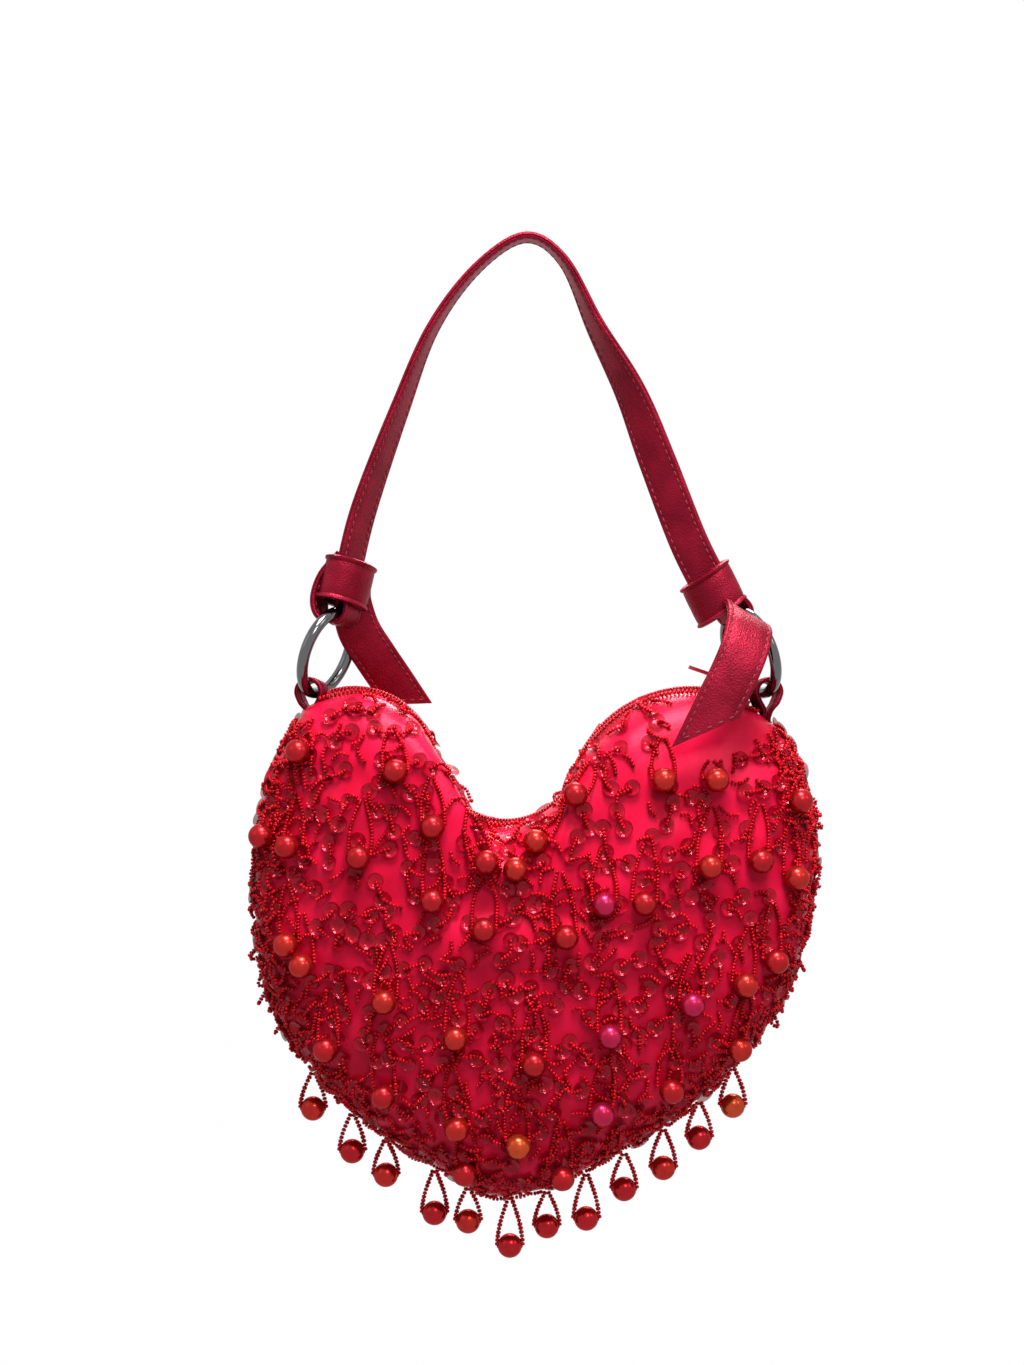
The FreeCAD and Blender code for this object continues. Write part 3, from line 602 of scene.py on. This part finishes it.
sewn = {}
for side, word in sides:
    sewn[side] = np.array(centres_of(word + "_pearls"))
    spots = []
    strands = []
    for c in sewn[side]:
        lean = np.array((1, *(chance.uniform(-most, most) for most in hole_leans)))
        spots.append((c, lean, np.array((0, 0, 1.0)), pearl_radius))
        rise, aside = chance.uniform(*strand_rises), chance.uniform(-strand_lean, strand_lean)
        if nearness((c[0], c[1], c[2] + rise), side) < strand_clear:
            rise = short_rise
        while rise > least_rise and off_panel((c[0] + aside, c[1], c[2] + rise), side) > strand_edge:
            rise -= rise_step
        stitch, _ = settle((c[0] + aside, c[1], c[2] + rise), side)
        for hand in (-1, 1):
            strands += strand_leg(stitch, c, hand, side)
    balls = scatter(word + "_pearl_beads", pearl_shape, spots, pearl_paint, "bag", "pearls", word + "_pearls")
    tinted(balls, np.repeat([pearl_tint(c) for c in sewn[side]], len(pearl_shape[0]), axis=0))
    string_of(word + "_pearl_strands", strands)

# Free drops along the lower edge: a loop of seed beads sewn to the seam with a pearl threaded at its
# foot. Each swings on its stitch, so each is one piece that rides on its own body.
drop_pitch, drop_bead_size = 1.3, 1.25
drop_top, drop_knee, drop_foot, drop_hole = (0.45, 0, -0.4), (0.9, 0.4, 0), (4.5, 0, 0.2), (3.4, 0, 0)
drop_knee_share = 0.55
drop_hole_way, drop_pearl_up = np.array((1.0, 0, 0)), np.array((0, 0.2, 1.0))
anchors = []
for joint in frame["joints"]:
    if not joint["name"].startswith("fringe_"):
        continue
    body = joint["child"]
    node = body.replace("fringe_", "fringe_drop_")
    anchor = np.array(joint["pos_m"]) / mm
    anchors.append(anchor)
    centre = np.array((anchor[0], anchor[1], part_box(node)[0][2] / mm + pearl_radius))
    spots = []
    for hand in (-1, 1):
        foot = centre + np.multiply(drop_foot, (hand, 1, 1))
        knee = anchor + (foot - anchor) * drop_knee_share + np.multiply(drop_knee, (hand, hand, 1))
        top = anchor + np.multiply(drop_top, (hand, 1, 1))
        hole = centre + np.multiply(drop_hole, (hand, 1, 1))
        spots += bead_line(through([top, knee, foot, hole], 40), (0, -1, 0), drop_pitch, drop_bead_size)
    verts, faces = copies(bead_shape, spots)
    ball, ball_faces = copies(pearl_shape, [(centre, drop_hole_way, drop_pearl_up, pearl_radius)])
    drop = joined(body + "_beads", np.vstack((verts, ball)), np.vstack((faces, ball_faces + len(verts))))
    dress(drop, bead_paint, body, "pearls", node)
    drop.data.materials.append(pearl_paint)
    drop.data.polygons.foreach_set("material_index", [0] * len(faces) + [1] * len(ball_faces))
    tinted(drop, [chance.choice(bead_tints) for _ in verts] + [pearl_tint(centre)] * len(ball))

# Flat beadwork: cupped red sequins, mostly in pairs, held by short arched rows of seed beads, and
# plain rows of beads between them and along the hem, in all directions over both panels.
sequin_paint, tree, shader = paint("sequin", (0.62, 0.008, 0.035), 0.12, metallic=0.12, alpha=0.78,
                                   specular_ior_level=0.4, specular_tint=(1.0, 0.4, 0.45, 1))
mottle(tree, shader, (0.30, 0.002, 0.012), (0.56, 0.004, 0.028), 180)
sequin_radius, sequin_lift, sequin_tilt = 3.1, 0.75, 0.22
sequin_profile = [(0.14, -0.12), (0.44, -0.13), (0.72, 0.0), (0.9, 0.13), (1.0, 0.24)]
sequin_shape = turned(sequin_profile, 14, (0, 0, 1))
group_count, group_apart, group_clear, group_from_drops = 300, 8.6, 6.6, 12.0
pair_share, pair_gaps, pair_row_lift, pair_row_bow = 0.68, (3.0, 4.2), 1.9, 1.8
triple_share, triple_places = 0.92, [(3.3, 0.0), (-1.8, 3.0), (-1.8, -3.0)]
lone_row_reaches, lone_row_lift, lone_row_bow = (5.0, 7.0), 1.6, 1.5
row_count, row_apart, row_clear, row_lower_share = 400, 3.9, 5.4, 2.4
row_reaches, row_lift, row_bow = (2.6, 4.6), 1.3, 2.4
hem_count, hem_apart, hem_clear = 330, 2.8, 5.0
hem_reaches, hem_lift, hem_bow = (2.0, 3.6), 1.5, 1.8
zip_columns, hem_columns, lower_z = 8, 24, -255.0
tries_each = 14


def scattered(side, count, apart, clear, taken, lower=1.0, hem=False, from_drops=8.0):
    """Well spaced places on a panel: point and normal, away from the pearls and the places already taken.
    The lower part gets more of them by the factor lower, and hem keeps them near the seam."""
    points, normals = grids[side]
    area = np.linalg.norm(np.cross(np.roll(points, -1, 0)[:, :-1] - points[:, :-1],
                                   points[:, 1:] - points[:, :-1]), axis=2)
    area[:top_count, :zip_columns] = 0
    if hem:
        area[:top_count] = 0
        area[:, hem_columns:] = 0
    area *= np.where(points[:, :-1, 2] < lower_z, lower, 1.0)
    ladder = np.cumsum(area.ravel())
    found = []
    for _ in range(count * tries_each):
        k = int(np.searchsorted(ladder, chance.random() * ladder[-1]))
        i, j = divmod(k, area.shape[1])
        p = points[i, j] + (points[i, j + 1] - points[i, j]) * chance.random()
        if np.linalg.norm(sewn[side] - p, axis=1).min() < clear or nearness(p, side) < 1:
            continue
        if np.linalg.norm(np.array(anchors) - p, axis=1).min() < from_drops:
            continue
        if taken and np.linalg.norm(np.array(taken) - p, axis=1).min() < apart:
            continue
        taken.append(p)
        found.append((p, normals[i, j]))
        if len(found) == count:
            break
    return found


def tangents(n, turn):
    """Two directions along the surface, square to each other."""
    u = unit(np.cross(n, (0.3, 0.2, 1.0)))
    v = np.cross(n, u)
    return u * math.cos(turn) + v * math.sin(turn), v * math.cos(turn) - u * math.sin(turn)


def arch(side, first, last, lift, bow):
    """A short row of beads from one place on a panel to another."""
    middle, n = settle((first + last) / 2, side)
    across = unit(np.cross(last - first, n))
    a, na = settle(first, side)
    b, nb = settle(last, side)
    top = middle + n * lift + across * bow
    return bead_line(through([a + na * bead_lift, top, b + nb * bead_lift], 24), n)


def short_rows(side, places, reaches, lift, bow):
    """Rows of beads laid over the given places in any direction."""
    rows = []
    for p, n in places:
        along, _ = tangents(n, chance.uniform(0, math.pi))
        reach = chance.uniform(*reaches)
        rows += arch(side, p + along * reach, p - along * reach, lift, chance.uniform(-bow, bow))
    return rows


for side, word in sides:
    taken, discs, held = [], [], []
    for p, n in scattered(side, group_count, group_apart, group_clear, taken, from_drops=group_from_drops):
        along, across = tangents(n, chance.uniform(0, math.pi))
        kind = chance.random()
        gap = chance.uniform(*pair_gaps)
        ends = [p + along * gap, p - along * gap] if kind < pair_share else [p]
        if kind > triple_share:
            ends = [p + along * ahead + across * aside for ahead, aside in triple_places]
        for end in ends:
            q, nq = settle(end, side)
            tilt = unit(nq + sequin_tilt * np.array([chance.uniform(-1, 1) for _ in range(3)]))
            discs.append((q + nq * sequin_lift, along, tilt, sequin_radius * chance.uniform(*size_spread)))
        if len(ends) == 2:
            held += arch(side, *ends, pair_row_lift, chance.uniform(-pair_row_bow, pair_row_bow))
        else:
            far = p + along * chance.uniform(*lone_row_reaches)
            held += arch(side, p, far, lone_row_lift, chance.uniform(-lone_row_bow, lone_row_bow))
    row_places = scattered(side, row_count, row_apart, row_clear, taken, lower=row_lower_share)
    rows = short_rows(side, row_places, row_reaches, row_lift, row_bow)
    hem_places = scattered(side, hem_count, hem_apart, hem_clear, taken, hem=True)
    hem_rows = short_rows(side, hem_places, hem_reaches, hem_lift, hem_bow)
    string_of(word + "_hem_beads", hem_rows)
    scatter(word + "_sequins", sequin_shape, discs, sequin_paint, "bag", "satin")
    string_of(word + "_sequin_beads", held)
    string_of(word + "_bead_rows", rows)

# Loops of seed beads that stand out of the seam all round the sides and bottom, in loose clusters,
# and hang by their weight. Each is a short threaded row sewn down at both ends.
loop_count, loop_end = 260, 3
loop_clear, long_loop_clear, clear_share = 8.0, 14.0, 0.35
loop_depth, loop_roots = 5.0, (1.6, 3.4)
loop_reaches, cluster_reach, least_reach, long_reach = (1.2, 2.2), 2.2, 1.0, 1.4
loop_openings, long_opening, loop_swell, loop_mouth = (1.0, 1.9), 0.8, 1.2, 0.3
loop_weight, long_weight, loop_lean, long_lean, long_turn = -0.8, -1.3, 1.5, 0.4, 0.9
long_every, long_first = 9, 4
turn = np.linspace(-0.5 * math.pi + loop_mouth, 1.5 * math.pi - loop_mouth, 20)[:, None]
loops = []
spaced = even(low_edge, loop_count)
for i in range(loop_end, loop_count - loop_end):
    way = unit(spaced[i + 1] - spaced[i - 1])
    outward = np.array((way[1], 0, -way[0]))
    if np.dot(outward[[0, 2]], spaced[i] - heart_middle) < 0:
        outward = -outward
    cluster = 0.5 + 0.5 * math.sin(i * 0.55) * math.sin(i * 0.21)
    seam_spot = np.array((spaced[i][0], chance.uniform(-loop_depth, loop_depth), spaced[i][1]))
    root = seam_spot - outward * chance.uniform(*loop_roots)
    from_drop = np.linalg.norm(np.array(anchors) - root, axis=1).min()
    if from_drop < loop_clear:
        continue
    long = i % long_every == long_first and from_drop > long_loop_clear
    reach = chance.uniform(*loop_reaches) + cluster_reach * cluster * chance.random() + long * long_reach
    reach = min(reach, least_reach + clear_share * (from_drop - loop_clear))
    weight = long_weight if long else loop_weight
    hang = unit(outward + np.array((chance.uniform(-0.4, 0.4), chance.uniform(-0.5, 0.5), weight)))
    most = long_lean if long else loop_lean
    side_way = unit(np.array((way[0] + long * long_turn, chance.uniform(-most, most), way[1])))
    opening = chance.uniform(*loop_openings) + long * long_opening
    ring = root + hang * reach * (loop_swell + loop_swell * np.sin(turn)) + side_way * opening * np.cos(turn)
    loops += bead_line(ring, (0.1, 1, 0.1))
string_of("seam_loops", loops)

# Zip along the top edge: two woven tapes sewn under the panels' edges, a red nylon coil on each,
# clamped end stops and an enamelled slider with its pull. Two rows of seed beads hide each seam.
tape_cloth, tree, shader = paint("tape_cloth", (0.42, 0.006, 0.025), 0.62)
place, _ = mottle(tree, shader, (0.34, 0.004, 0.018), (0.50, 0.008, 0.032), 240)
emboss(tree, shader, weave(tree, place, 520), 0.4, 0.0003)
coil_nylon, tree, shader = paint("coil_nylon", (0.46, 0.006, 0.022), 0.34, specular_tint=(1.0, 0.45, 0.5, 1))
mottle(tree, shader, (0.38, 0.004, 0.016), (0.54, 0.010, 0.03), 300)
zip_enamel, tree, shader = paint("zip_enamel", (0.36, 0.006, 0.022), 0.28, metallic=0.3)
mottle(tree, shader, (0.30, 0.004, 0.016), (0.42, 0.008, 0.028), 400)
zip_left_deg, zip_right_deg, coil_trim_deg = -19.0, 29.0, 2.5
tape_section = [(1.0, -0.6), (1.0, 0.2), (2.4, 0.2), (4.9, -0.8), (6.4, -2.4), (4.9, -1.7)]
tape_steps = 240
coil_turns, turn_steps, coil_sides, coil_wire = 168, 9, 6, 0.34
coil_rise, coil_half_height, coil_middle, coil_half_width = 0.9, 0.72, 1.15, 1.05
seam_rows, seam_row_pitch, seam_row_end = ((1, 0.9), (4, 1.0)), 1.45, 6


def zip_run(offset, y, trim=0.0):
    """The zip's run at an outward offset and a depth."""
    run = top_run(zip_left_deg + trim, zip_right_deg - trim, offset)
    return np.stack((run[:, 0], np.full(len(run), y), run[:, 1]), 1)


def tube_rows(line, radius, count):
    """Rings of points round a polyline."""
    way = unit(np.gradient(line, axis=0))
    first = unit(np.cross(way, (0.31, 0.77, 0.55)))
    second = np.cross(way, first)
    turn = np.linspace(0, 2 * math.pi, count, endpoint=False)[:, None]
    return line[:, None] + radius * (first[:, None] * np.cos(turn) + second[:, None] * np.sin(turn))


def finish_node(node, material):
    """Gives a solid that shows a material of its own."""
    frame["nodes"][node].data.materials.clear()
    frame["nodes"][node].data.materials.append(material)


for side, word in sides:
    tape = np.stack([even(zip_run(offset, side * depth), tape_steps) for depth, offset in tape_section], 1)
    cloth = piece_of("zip_tape_cloth_" + word, swept(tape, "open"))
    dress(cloth, tape_cloth, "bag", "zip_tape", "zip_tape_" + word)
    base = even(zip_run(0.0, 0.0, coil_trim_deg), coil_turns * turn_steps)
    outward = np.cross(unit(np.gradient(base, axis=0)), (0, 1, 0))
    outward *= np.sign(outward[0, 2])
    swing = np.arange(len(base)) / turn_steps * 2 * math.pi + (math.pi if side > 0 else 0)
    helix = base + outward * (coil_rise + coil_half_height * np.sin(swing))[:, None]
    helix[:, 1] = side * (coil_middle + coil_half_width * np.cos(swing))
    coil = piece_of("zip_coil_" + word, swept(tube_rows(helix, coil_wire, coil_sides), "caps"))
    dress(coil, coil_nylon, "bag", "zip_teeth", "zip_teeth_" + word)
    points, normals = grids[side]
    seam = slice(seam_row_end, top_count - seam_row_end)
    beads = []
    for k, lift in seam_rows:
        beads += bead_line(points[seam, k] + normals[seam, k] * lift, (0, side, 0.2), seam_row_pitch)
    string_of("zip_bead_rows_" + word, beads, word + "_edge_beads")
for node in ("zip_stop_left", "zip_stop_right", "zip_slider", "zip_pull"):
    finish_node(node, zip_enamel)

# Rings: dark polished metal wire in a closed round, the CAD nodes themselves with a finish. Each passes
# through a leather tab on the bag and a bight of the strap, and leans inwards with the strap's pull.
chrome, tree, shader = paint("ring_chrome", (0.13, 0.13, 0.135), 0.1, metallic=1.0)
mottle(tree, shader, 0.05, 0.16, 260, socket="Roughness")
for node in ("ring_left", "ring_right"):
    finish_node(node, chrome)
ring_radius, ring_lean_deg, ring_turn_deg = 15.0, 21.0, 25.0
ring_foot = {"left": (-74.8, 0, -158.5), "right": (84.4, 0, -158.5)}


def ring_frame(hand):
    """Foot, upward lean and cross direction of a ring."""
    inward = 1 if hand == "left" else -1
    lean, turn = math.radians(ring_lean_deg), math.radians(ring_turn_deg)
    up = np.array((inward * math.sin(lean), 0, math.cos(lean)))
    level = np.array((math.cos(lean), 0, -inward * math.sin(lean)))
    across = np.array((0, math.cos(turn), 0)) + level * inward * math.sin(turn)
    return np.array(ring_foot[hand]), up, across


# Leather tabs: metallic wine-red foil on thin leather, folded round the foot of each ring and sewn
# into the top corners of the heart. The strap's bands below are cut from the same leather.
leather, tree, shader = paint("foil_leather", (0.30, 0.012, 0.035), 0.42, metallic=0.5,
                              specular_ior_level=0.25, specular_tint=(1.0, 0.5, 0.55, 1))
place, _ = mottle(tree, shader, (0.17, 0.003, 0.014), (0.27, 0.006, 0.024), 110)
grain = tree.nodes.new("ShaderNodeTexVoronoi")
grain.inputs["Scale"].default_value = 1500
tree.links.new(place.outputs["Object"], grain.inputs["Vector"])
emboss(tree, shader, grain.outputs["Distance"], 0.3, 0.0005)
thread, tree, shader = paint("stitch_thread", (0.22, 0.006, 0.02), 0.6)
mottle(tree, shader, (0.18, 0.004, 0.016), (0.28, 0.009, 0.028), 900)
stitch_shape = turned([(0.02, -1.0), (0.2, -0.8), (0.28, -0.3), (0.28, 0.3), (0.2, 0.8), (0.02, 1.0)], 6)
stitch_pitch, stitch_length, stitch_inset, stitch_margin, stitch_lift = 2.7, 1.0, 1.8, 1.5, 0.02
end_stitch_inset = 2.6
sharp_edge = math.radians(50)


def band_section(hw, ht, rim):
    """A leather strip's cross section: two layers with a groove for the stitches, and edges raised by rim."""
    lip, groove = ht + rim, ht - 0.14
    top = [(-hw + 0.4, lip), (-hw + 1.1, lip), (-hw + 1.8, groove), (-hw + 2.2, ht), (-hw / 3, ht + 0.1),
           (hw / 3, ht + 0.1), (hw - 2.2, ht), (hw - 1.8, groove), (hw - 1.1, lip), (hw - 0.4, lip)]
    edge = [(hw - 0.08, ht - 0.3), (hw, 0.22), (hw - 0.35, 0), (hw, -0.22), (hw - 0.08, -ht + 0.3)]
    return top + edge + [(c, -h) for c, h in top[::-1]] + [(-c, -h) for c, h in edge]


def ribbon(name, line, wides, width, thickness, body, node, start=0.0, end=0.0, stitched=True, rim=0.0):
    """A leather strip along a line; wides gives its flat direction, start and end slant its cut ends, rim
    thickens its edges where they are rolled."""
    way = unit(np.gradient(line, axis=0))
    wides = unit(wides - way * (wides * way).sum(1, keepdims=True))
    thins = np.cross(wides, way)
    run = run_of(line)
    length = run[-1]
    hw, ht = width / 2, thickness / 2
    track = np.hstack((line, wides, thins))

    def at(s, c, h):
        """The point at a length along the strip, a place across it and a height; the ends run on straight."""
        here, wide, thin = np.array([np.interp(s, run, column) for column in track.T]).reshape(3, 3)
        return here + way[0] * min(s, 0) + way[-1] * max(s - length, 0) + wide * c + thin * h

    section = band_section(hw, ht, rim)
    rows = []
    for t in np.linspace(0, 1, len(line)):
        spots = [((1 - t) * start * c / hw + t * (length + end * c / hw), c, h) for c, h in section]
        rows.append([at(*spot) for spot in spots])
    piece = piece_of(name, swept(np.array(rows), "caps"))
    piece.data.set_sharp_from_angle(angle=sharp_edge)
    dress(piece, leather, body, "strap_leather", node)
    if not stitched:
        return
    spots = []
    for c in (-hw + stitch_inset, hw - stitch_inset):
        first, last = start * c / hw + stitch_margin, length + end * c / hw - stitch_margin
        for s in np.arange(first, last, stitch_pitch):
            for h in (ht - stitch_lift, -ht + stitch_lift):
                p, q = at(s, c, h), at(s + stitch_length, c, h)
                spots.append((p, q - p, p - at(s, c, 0), 1.0))
    if end:
        near_end = length - stitch_inset
        for c in np.arange(-hw + end_stitch_inset, hw - end_stitch_inset + 0.1, stitch_pitch):
            next_c = c + stitch_length
            for h in (ht + stitch_lift, -ht - stitch_lift):
                p, q = at(near_end + end * c / hw, c, h), at(near_end + end * next_c / hw, next_c, h)
                spots.append((p, q - p, p - at(near_end, c, 0), 1.0))
    scatter(name + "_stitches", stitch_shape, spots, thread, body, "strap_leather")


def folded_round(foot, rise, thick, half):
    """A route up one side, over a ring's wire and down the other; half holds each height and half gap."""
    there = [foot + rise * z + thick * x for z, x in half]
    back = [foot + rise * z - thick * x for z, x in half[-2::-1]]
    return there + back


tab_width, tab_thickness = 6.4, 1.5
tab_half = [(-13.0, 0.75), (-7.0, 1.2), (-3.6, 3.5), (0.0, 4.8), (3.0, 3.4), (4.4, 0.0)]
tab_turn_from, tab_turn_over = 4.0, 5.0
for hand in ("left", "right"):
    foot, _, across = ring_frame(hand)
    thick = unit(np.cross(across, (0, 0, -1.0)))
    line = through(folded_round(foot, np.array((0, 0, 1.0)), thick, tab_half), 60)
    depth = np.clip((foot[2] - line[:, 2] - tab_turn_from) / tab_turn_over, 0, 1)[:, None]
    wides = across * (1 - depth) + np.array((0, 1.0, 0)) * depth
    ribbon("tab_leather_" + hand, line, wides, tab_width, tab_thickness, "bag", "ring_tab_" + hand,
           stitched=False)

# Strap: a band of the same leather, folded double and stitched along both edges, edge-on to the front
# at its top and turning to face it lower down. It hangs from the place where it is held.
strap_spread, strap_fall, strap_width, strap_thick = 67.0, 126.0, 14.0, 2.2
strap_rise_shares = [-0.94, -0.75, -0.47, -0.25, -0.085, 0.0, -0.065, -0.25, -0.43, -0.62, -0.84, -0.97]
strap_reach_shares = [-0.93, -0.84, -0.65, -0.48, -0.25, 0.0, 0.20, 0.37, 0.55, 0.69, 0.85, 0.97]
strap_twist_shares = [0.36, 0.34, 0.20, 0.08, 0.02, 0.0, 0.04, 0.20, 0.46, 0.66, 0.74, 0.76]
strap_points = np.array([(strap_spread * x, 0, strap_fall * z + strap_thick / 2)
                         for x, z in zip(strap_reach_shares, strap_rise_shares)])


def flat_way(way, twist_share):
    """The strap's flat direction: edge-on to the front at 0, facing it at 1."""
    turn = math.radians(90) * twist_share
    return np.array((0, math.cos(turn), 0)) + np.array((way[2], 0, -way[0])) * math.sin(turn)


route = through(np.column_stack((strap_points, strap_twist_shares)), 170)
line = route[:, :3]
wides = np.array([flat_way(w, t) for w, t in zip(unit(np.gradient(line, axis=0)), route[:, 3])])
ribbon("strap_band", line, wides, strap_width, strap_thick, "strap", "strap")

# Knots and bights: at each end the strap goes round the ring in a bight and is tied off by a wrapped
# knot with rolled edges. On the left the bight bulges out beside the knot.
knot_width, knot_thick, knot_rim, knot_drop = 15.5, 1.9, 0.55, 2.9
knot_half_wide, knot_half_thin, knot_growth, knot_slant = 8.0, 5.8, 1.6, 1.3
knot_steps, knot_overlap, knot_phase = 90, 0.9, 0.6
bight_width, bight_thick, bight_steps = 11.5, 1.8, 70
bight_half = [(11.0, 2.2), (5.0, 3.2), (0.0, 3.7), (-2.7, 2.6), (-3.7, 0.0)]
left_bulge = [(-70.6, 0.0, -132.0), (-72.2, 0.0, -126.0), (-69.6, 0.0, -118.0), (-63.5, 0.0, -110.8)]


def knot(hand):
    """Middle, downward way, wide and thin directions of the knot at a strap end."""
    i, j = (0, 1) if hand == "left" else (-1, -2)
    way = unit(strap_points[i] - strap_points[j])
    wide = flat_way(-way if hand == "left" else way, strap_twist_shares[i])
    return strap_points[i] + way * knot_drop, way, wide, np.cross(wide, way)


for hand in ("left", "right"):
    middle, way, wide, thin = knot(hand)
    turn = np.linspace(0.5 * math.pi, 2.5 * math.pi + knot_overlap, knot_steps)[:, None]
    if hand == "left":
        turn = turn + math.pi
    grow = np.linspace(0, 1, knot_steps)[:, None] * knot_growth
    line = middle + wide * (knot_half_wide + grow) * np.cos(turn)
    line = line + thin * (knot_half_thin + grow) * np.sin(turn)
    line = line + way * knot_slant * np.cos(turn - knot_phase)
    ribbon("knot_band_" + hand, line, np.tile(way, (knot_steps, 1)), knot_width, knot_thick, "strap",
           "knot_wrap_" + hand, stitched=False, rim=knot_rim)
    foot, up, across = ring_frame(hand)
    head = foot + up * 2 * ring_radius
    climb = unit((middle - head) - across * np.dot(middle - head, across))
    path = folded_round(head, climb, -np.cross(across, climb), bight_half)
    if hand == "left":
        inner = path[:5] if path[0][0] > path[-1][0] else path[:3:-1]
        path = [*inner, *left_bulge]
    ribbon("bight_band_" + hand, through(path, bight_steps), np.tile(across, (bight_steps, 1)), bight_width,
           bight_thick, "strap", "strap_loop_" + hand)

# Tails: the strap's free ends, stitched round and cut on a slant. The left one falls behind the bag, and
# the right one comes forward out of the bight and hangs in front of the bag.
tail_thick, left_steps, right_steps = 2.0, 60, 70
left_width, left_end_slant = 15.3, -5.0
right_width, right_start_slant, right_end_slant = 16.5, 4.0, 9.5
left_flats, left_turn = ((-0.75, -0.6, -0.25), (-0.839, 0, -0.546)), (-0.2, 3)
right_flats, right_turn = ((-0.80, 0.1, 0.60), (-0.907, 0.0, 0.42)), (0, 3)
left_route = [(-60.5, 2.0, -123.0), (-60.6, 5.0, -129.0), (-58.5, 9.0, -137.0), (-53.0, 13.4, -146.0),
              (-47.4, 17.8, -154.5), (-42.3, 21.4, -162.4)]
right_route = [(74.0, -3.5, -130.5), (76.6, -13.6, -131.8), (76.8, -23.4, -135.8), (74.6, -28.8, -143.5),
               (70.5, -30.8, -153.0), (66.0, -31.2, -162.0), (61.2, -31.0, -172.0)]


def turning(flats, places, steps):
    """A tail's flat direction, turned from the first to the last of flats while places runs from 0 to 1."""
    first, last = np.array(flats)
    ease = np.clip(np.linspace(*places, steps), 0, 1)[:, None]
    return last * ease + first * (1 - ease)


ribbon("tail_band_left", through(left_route, left_steps), turning(left_flats, left_turn, left_steps),
       left_width, tail_thick, "strap", "strap_tail_left", end=left_end_slant)
ribbon("tail_band_right", through(right_route, right_steps), turning(right_flats, right_turn, right_steps),
       right_width, tail_thick, "strap", "strap_tail_right", start=right_start_slant, end=right_end_slant)

# Both are kept as plain lists of numbers, in metres.
size = {"cad": [list(cad_low), list(cad_high)], "visual": [list(v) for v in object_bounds()]}
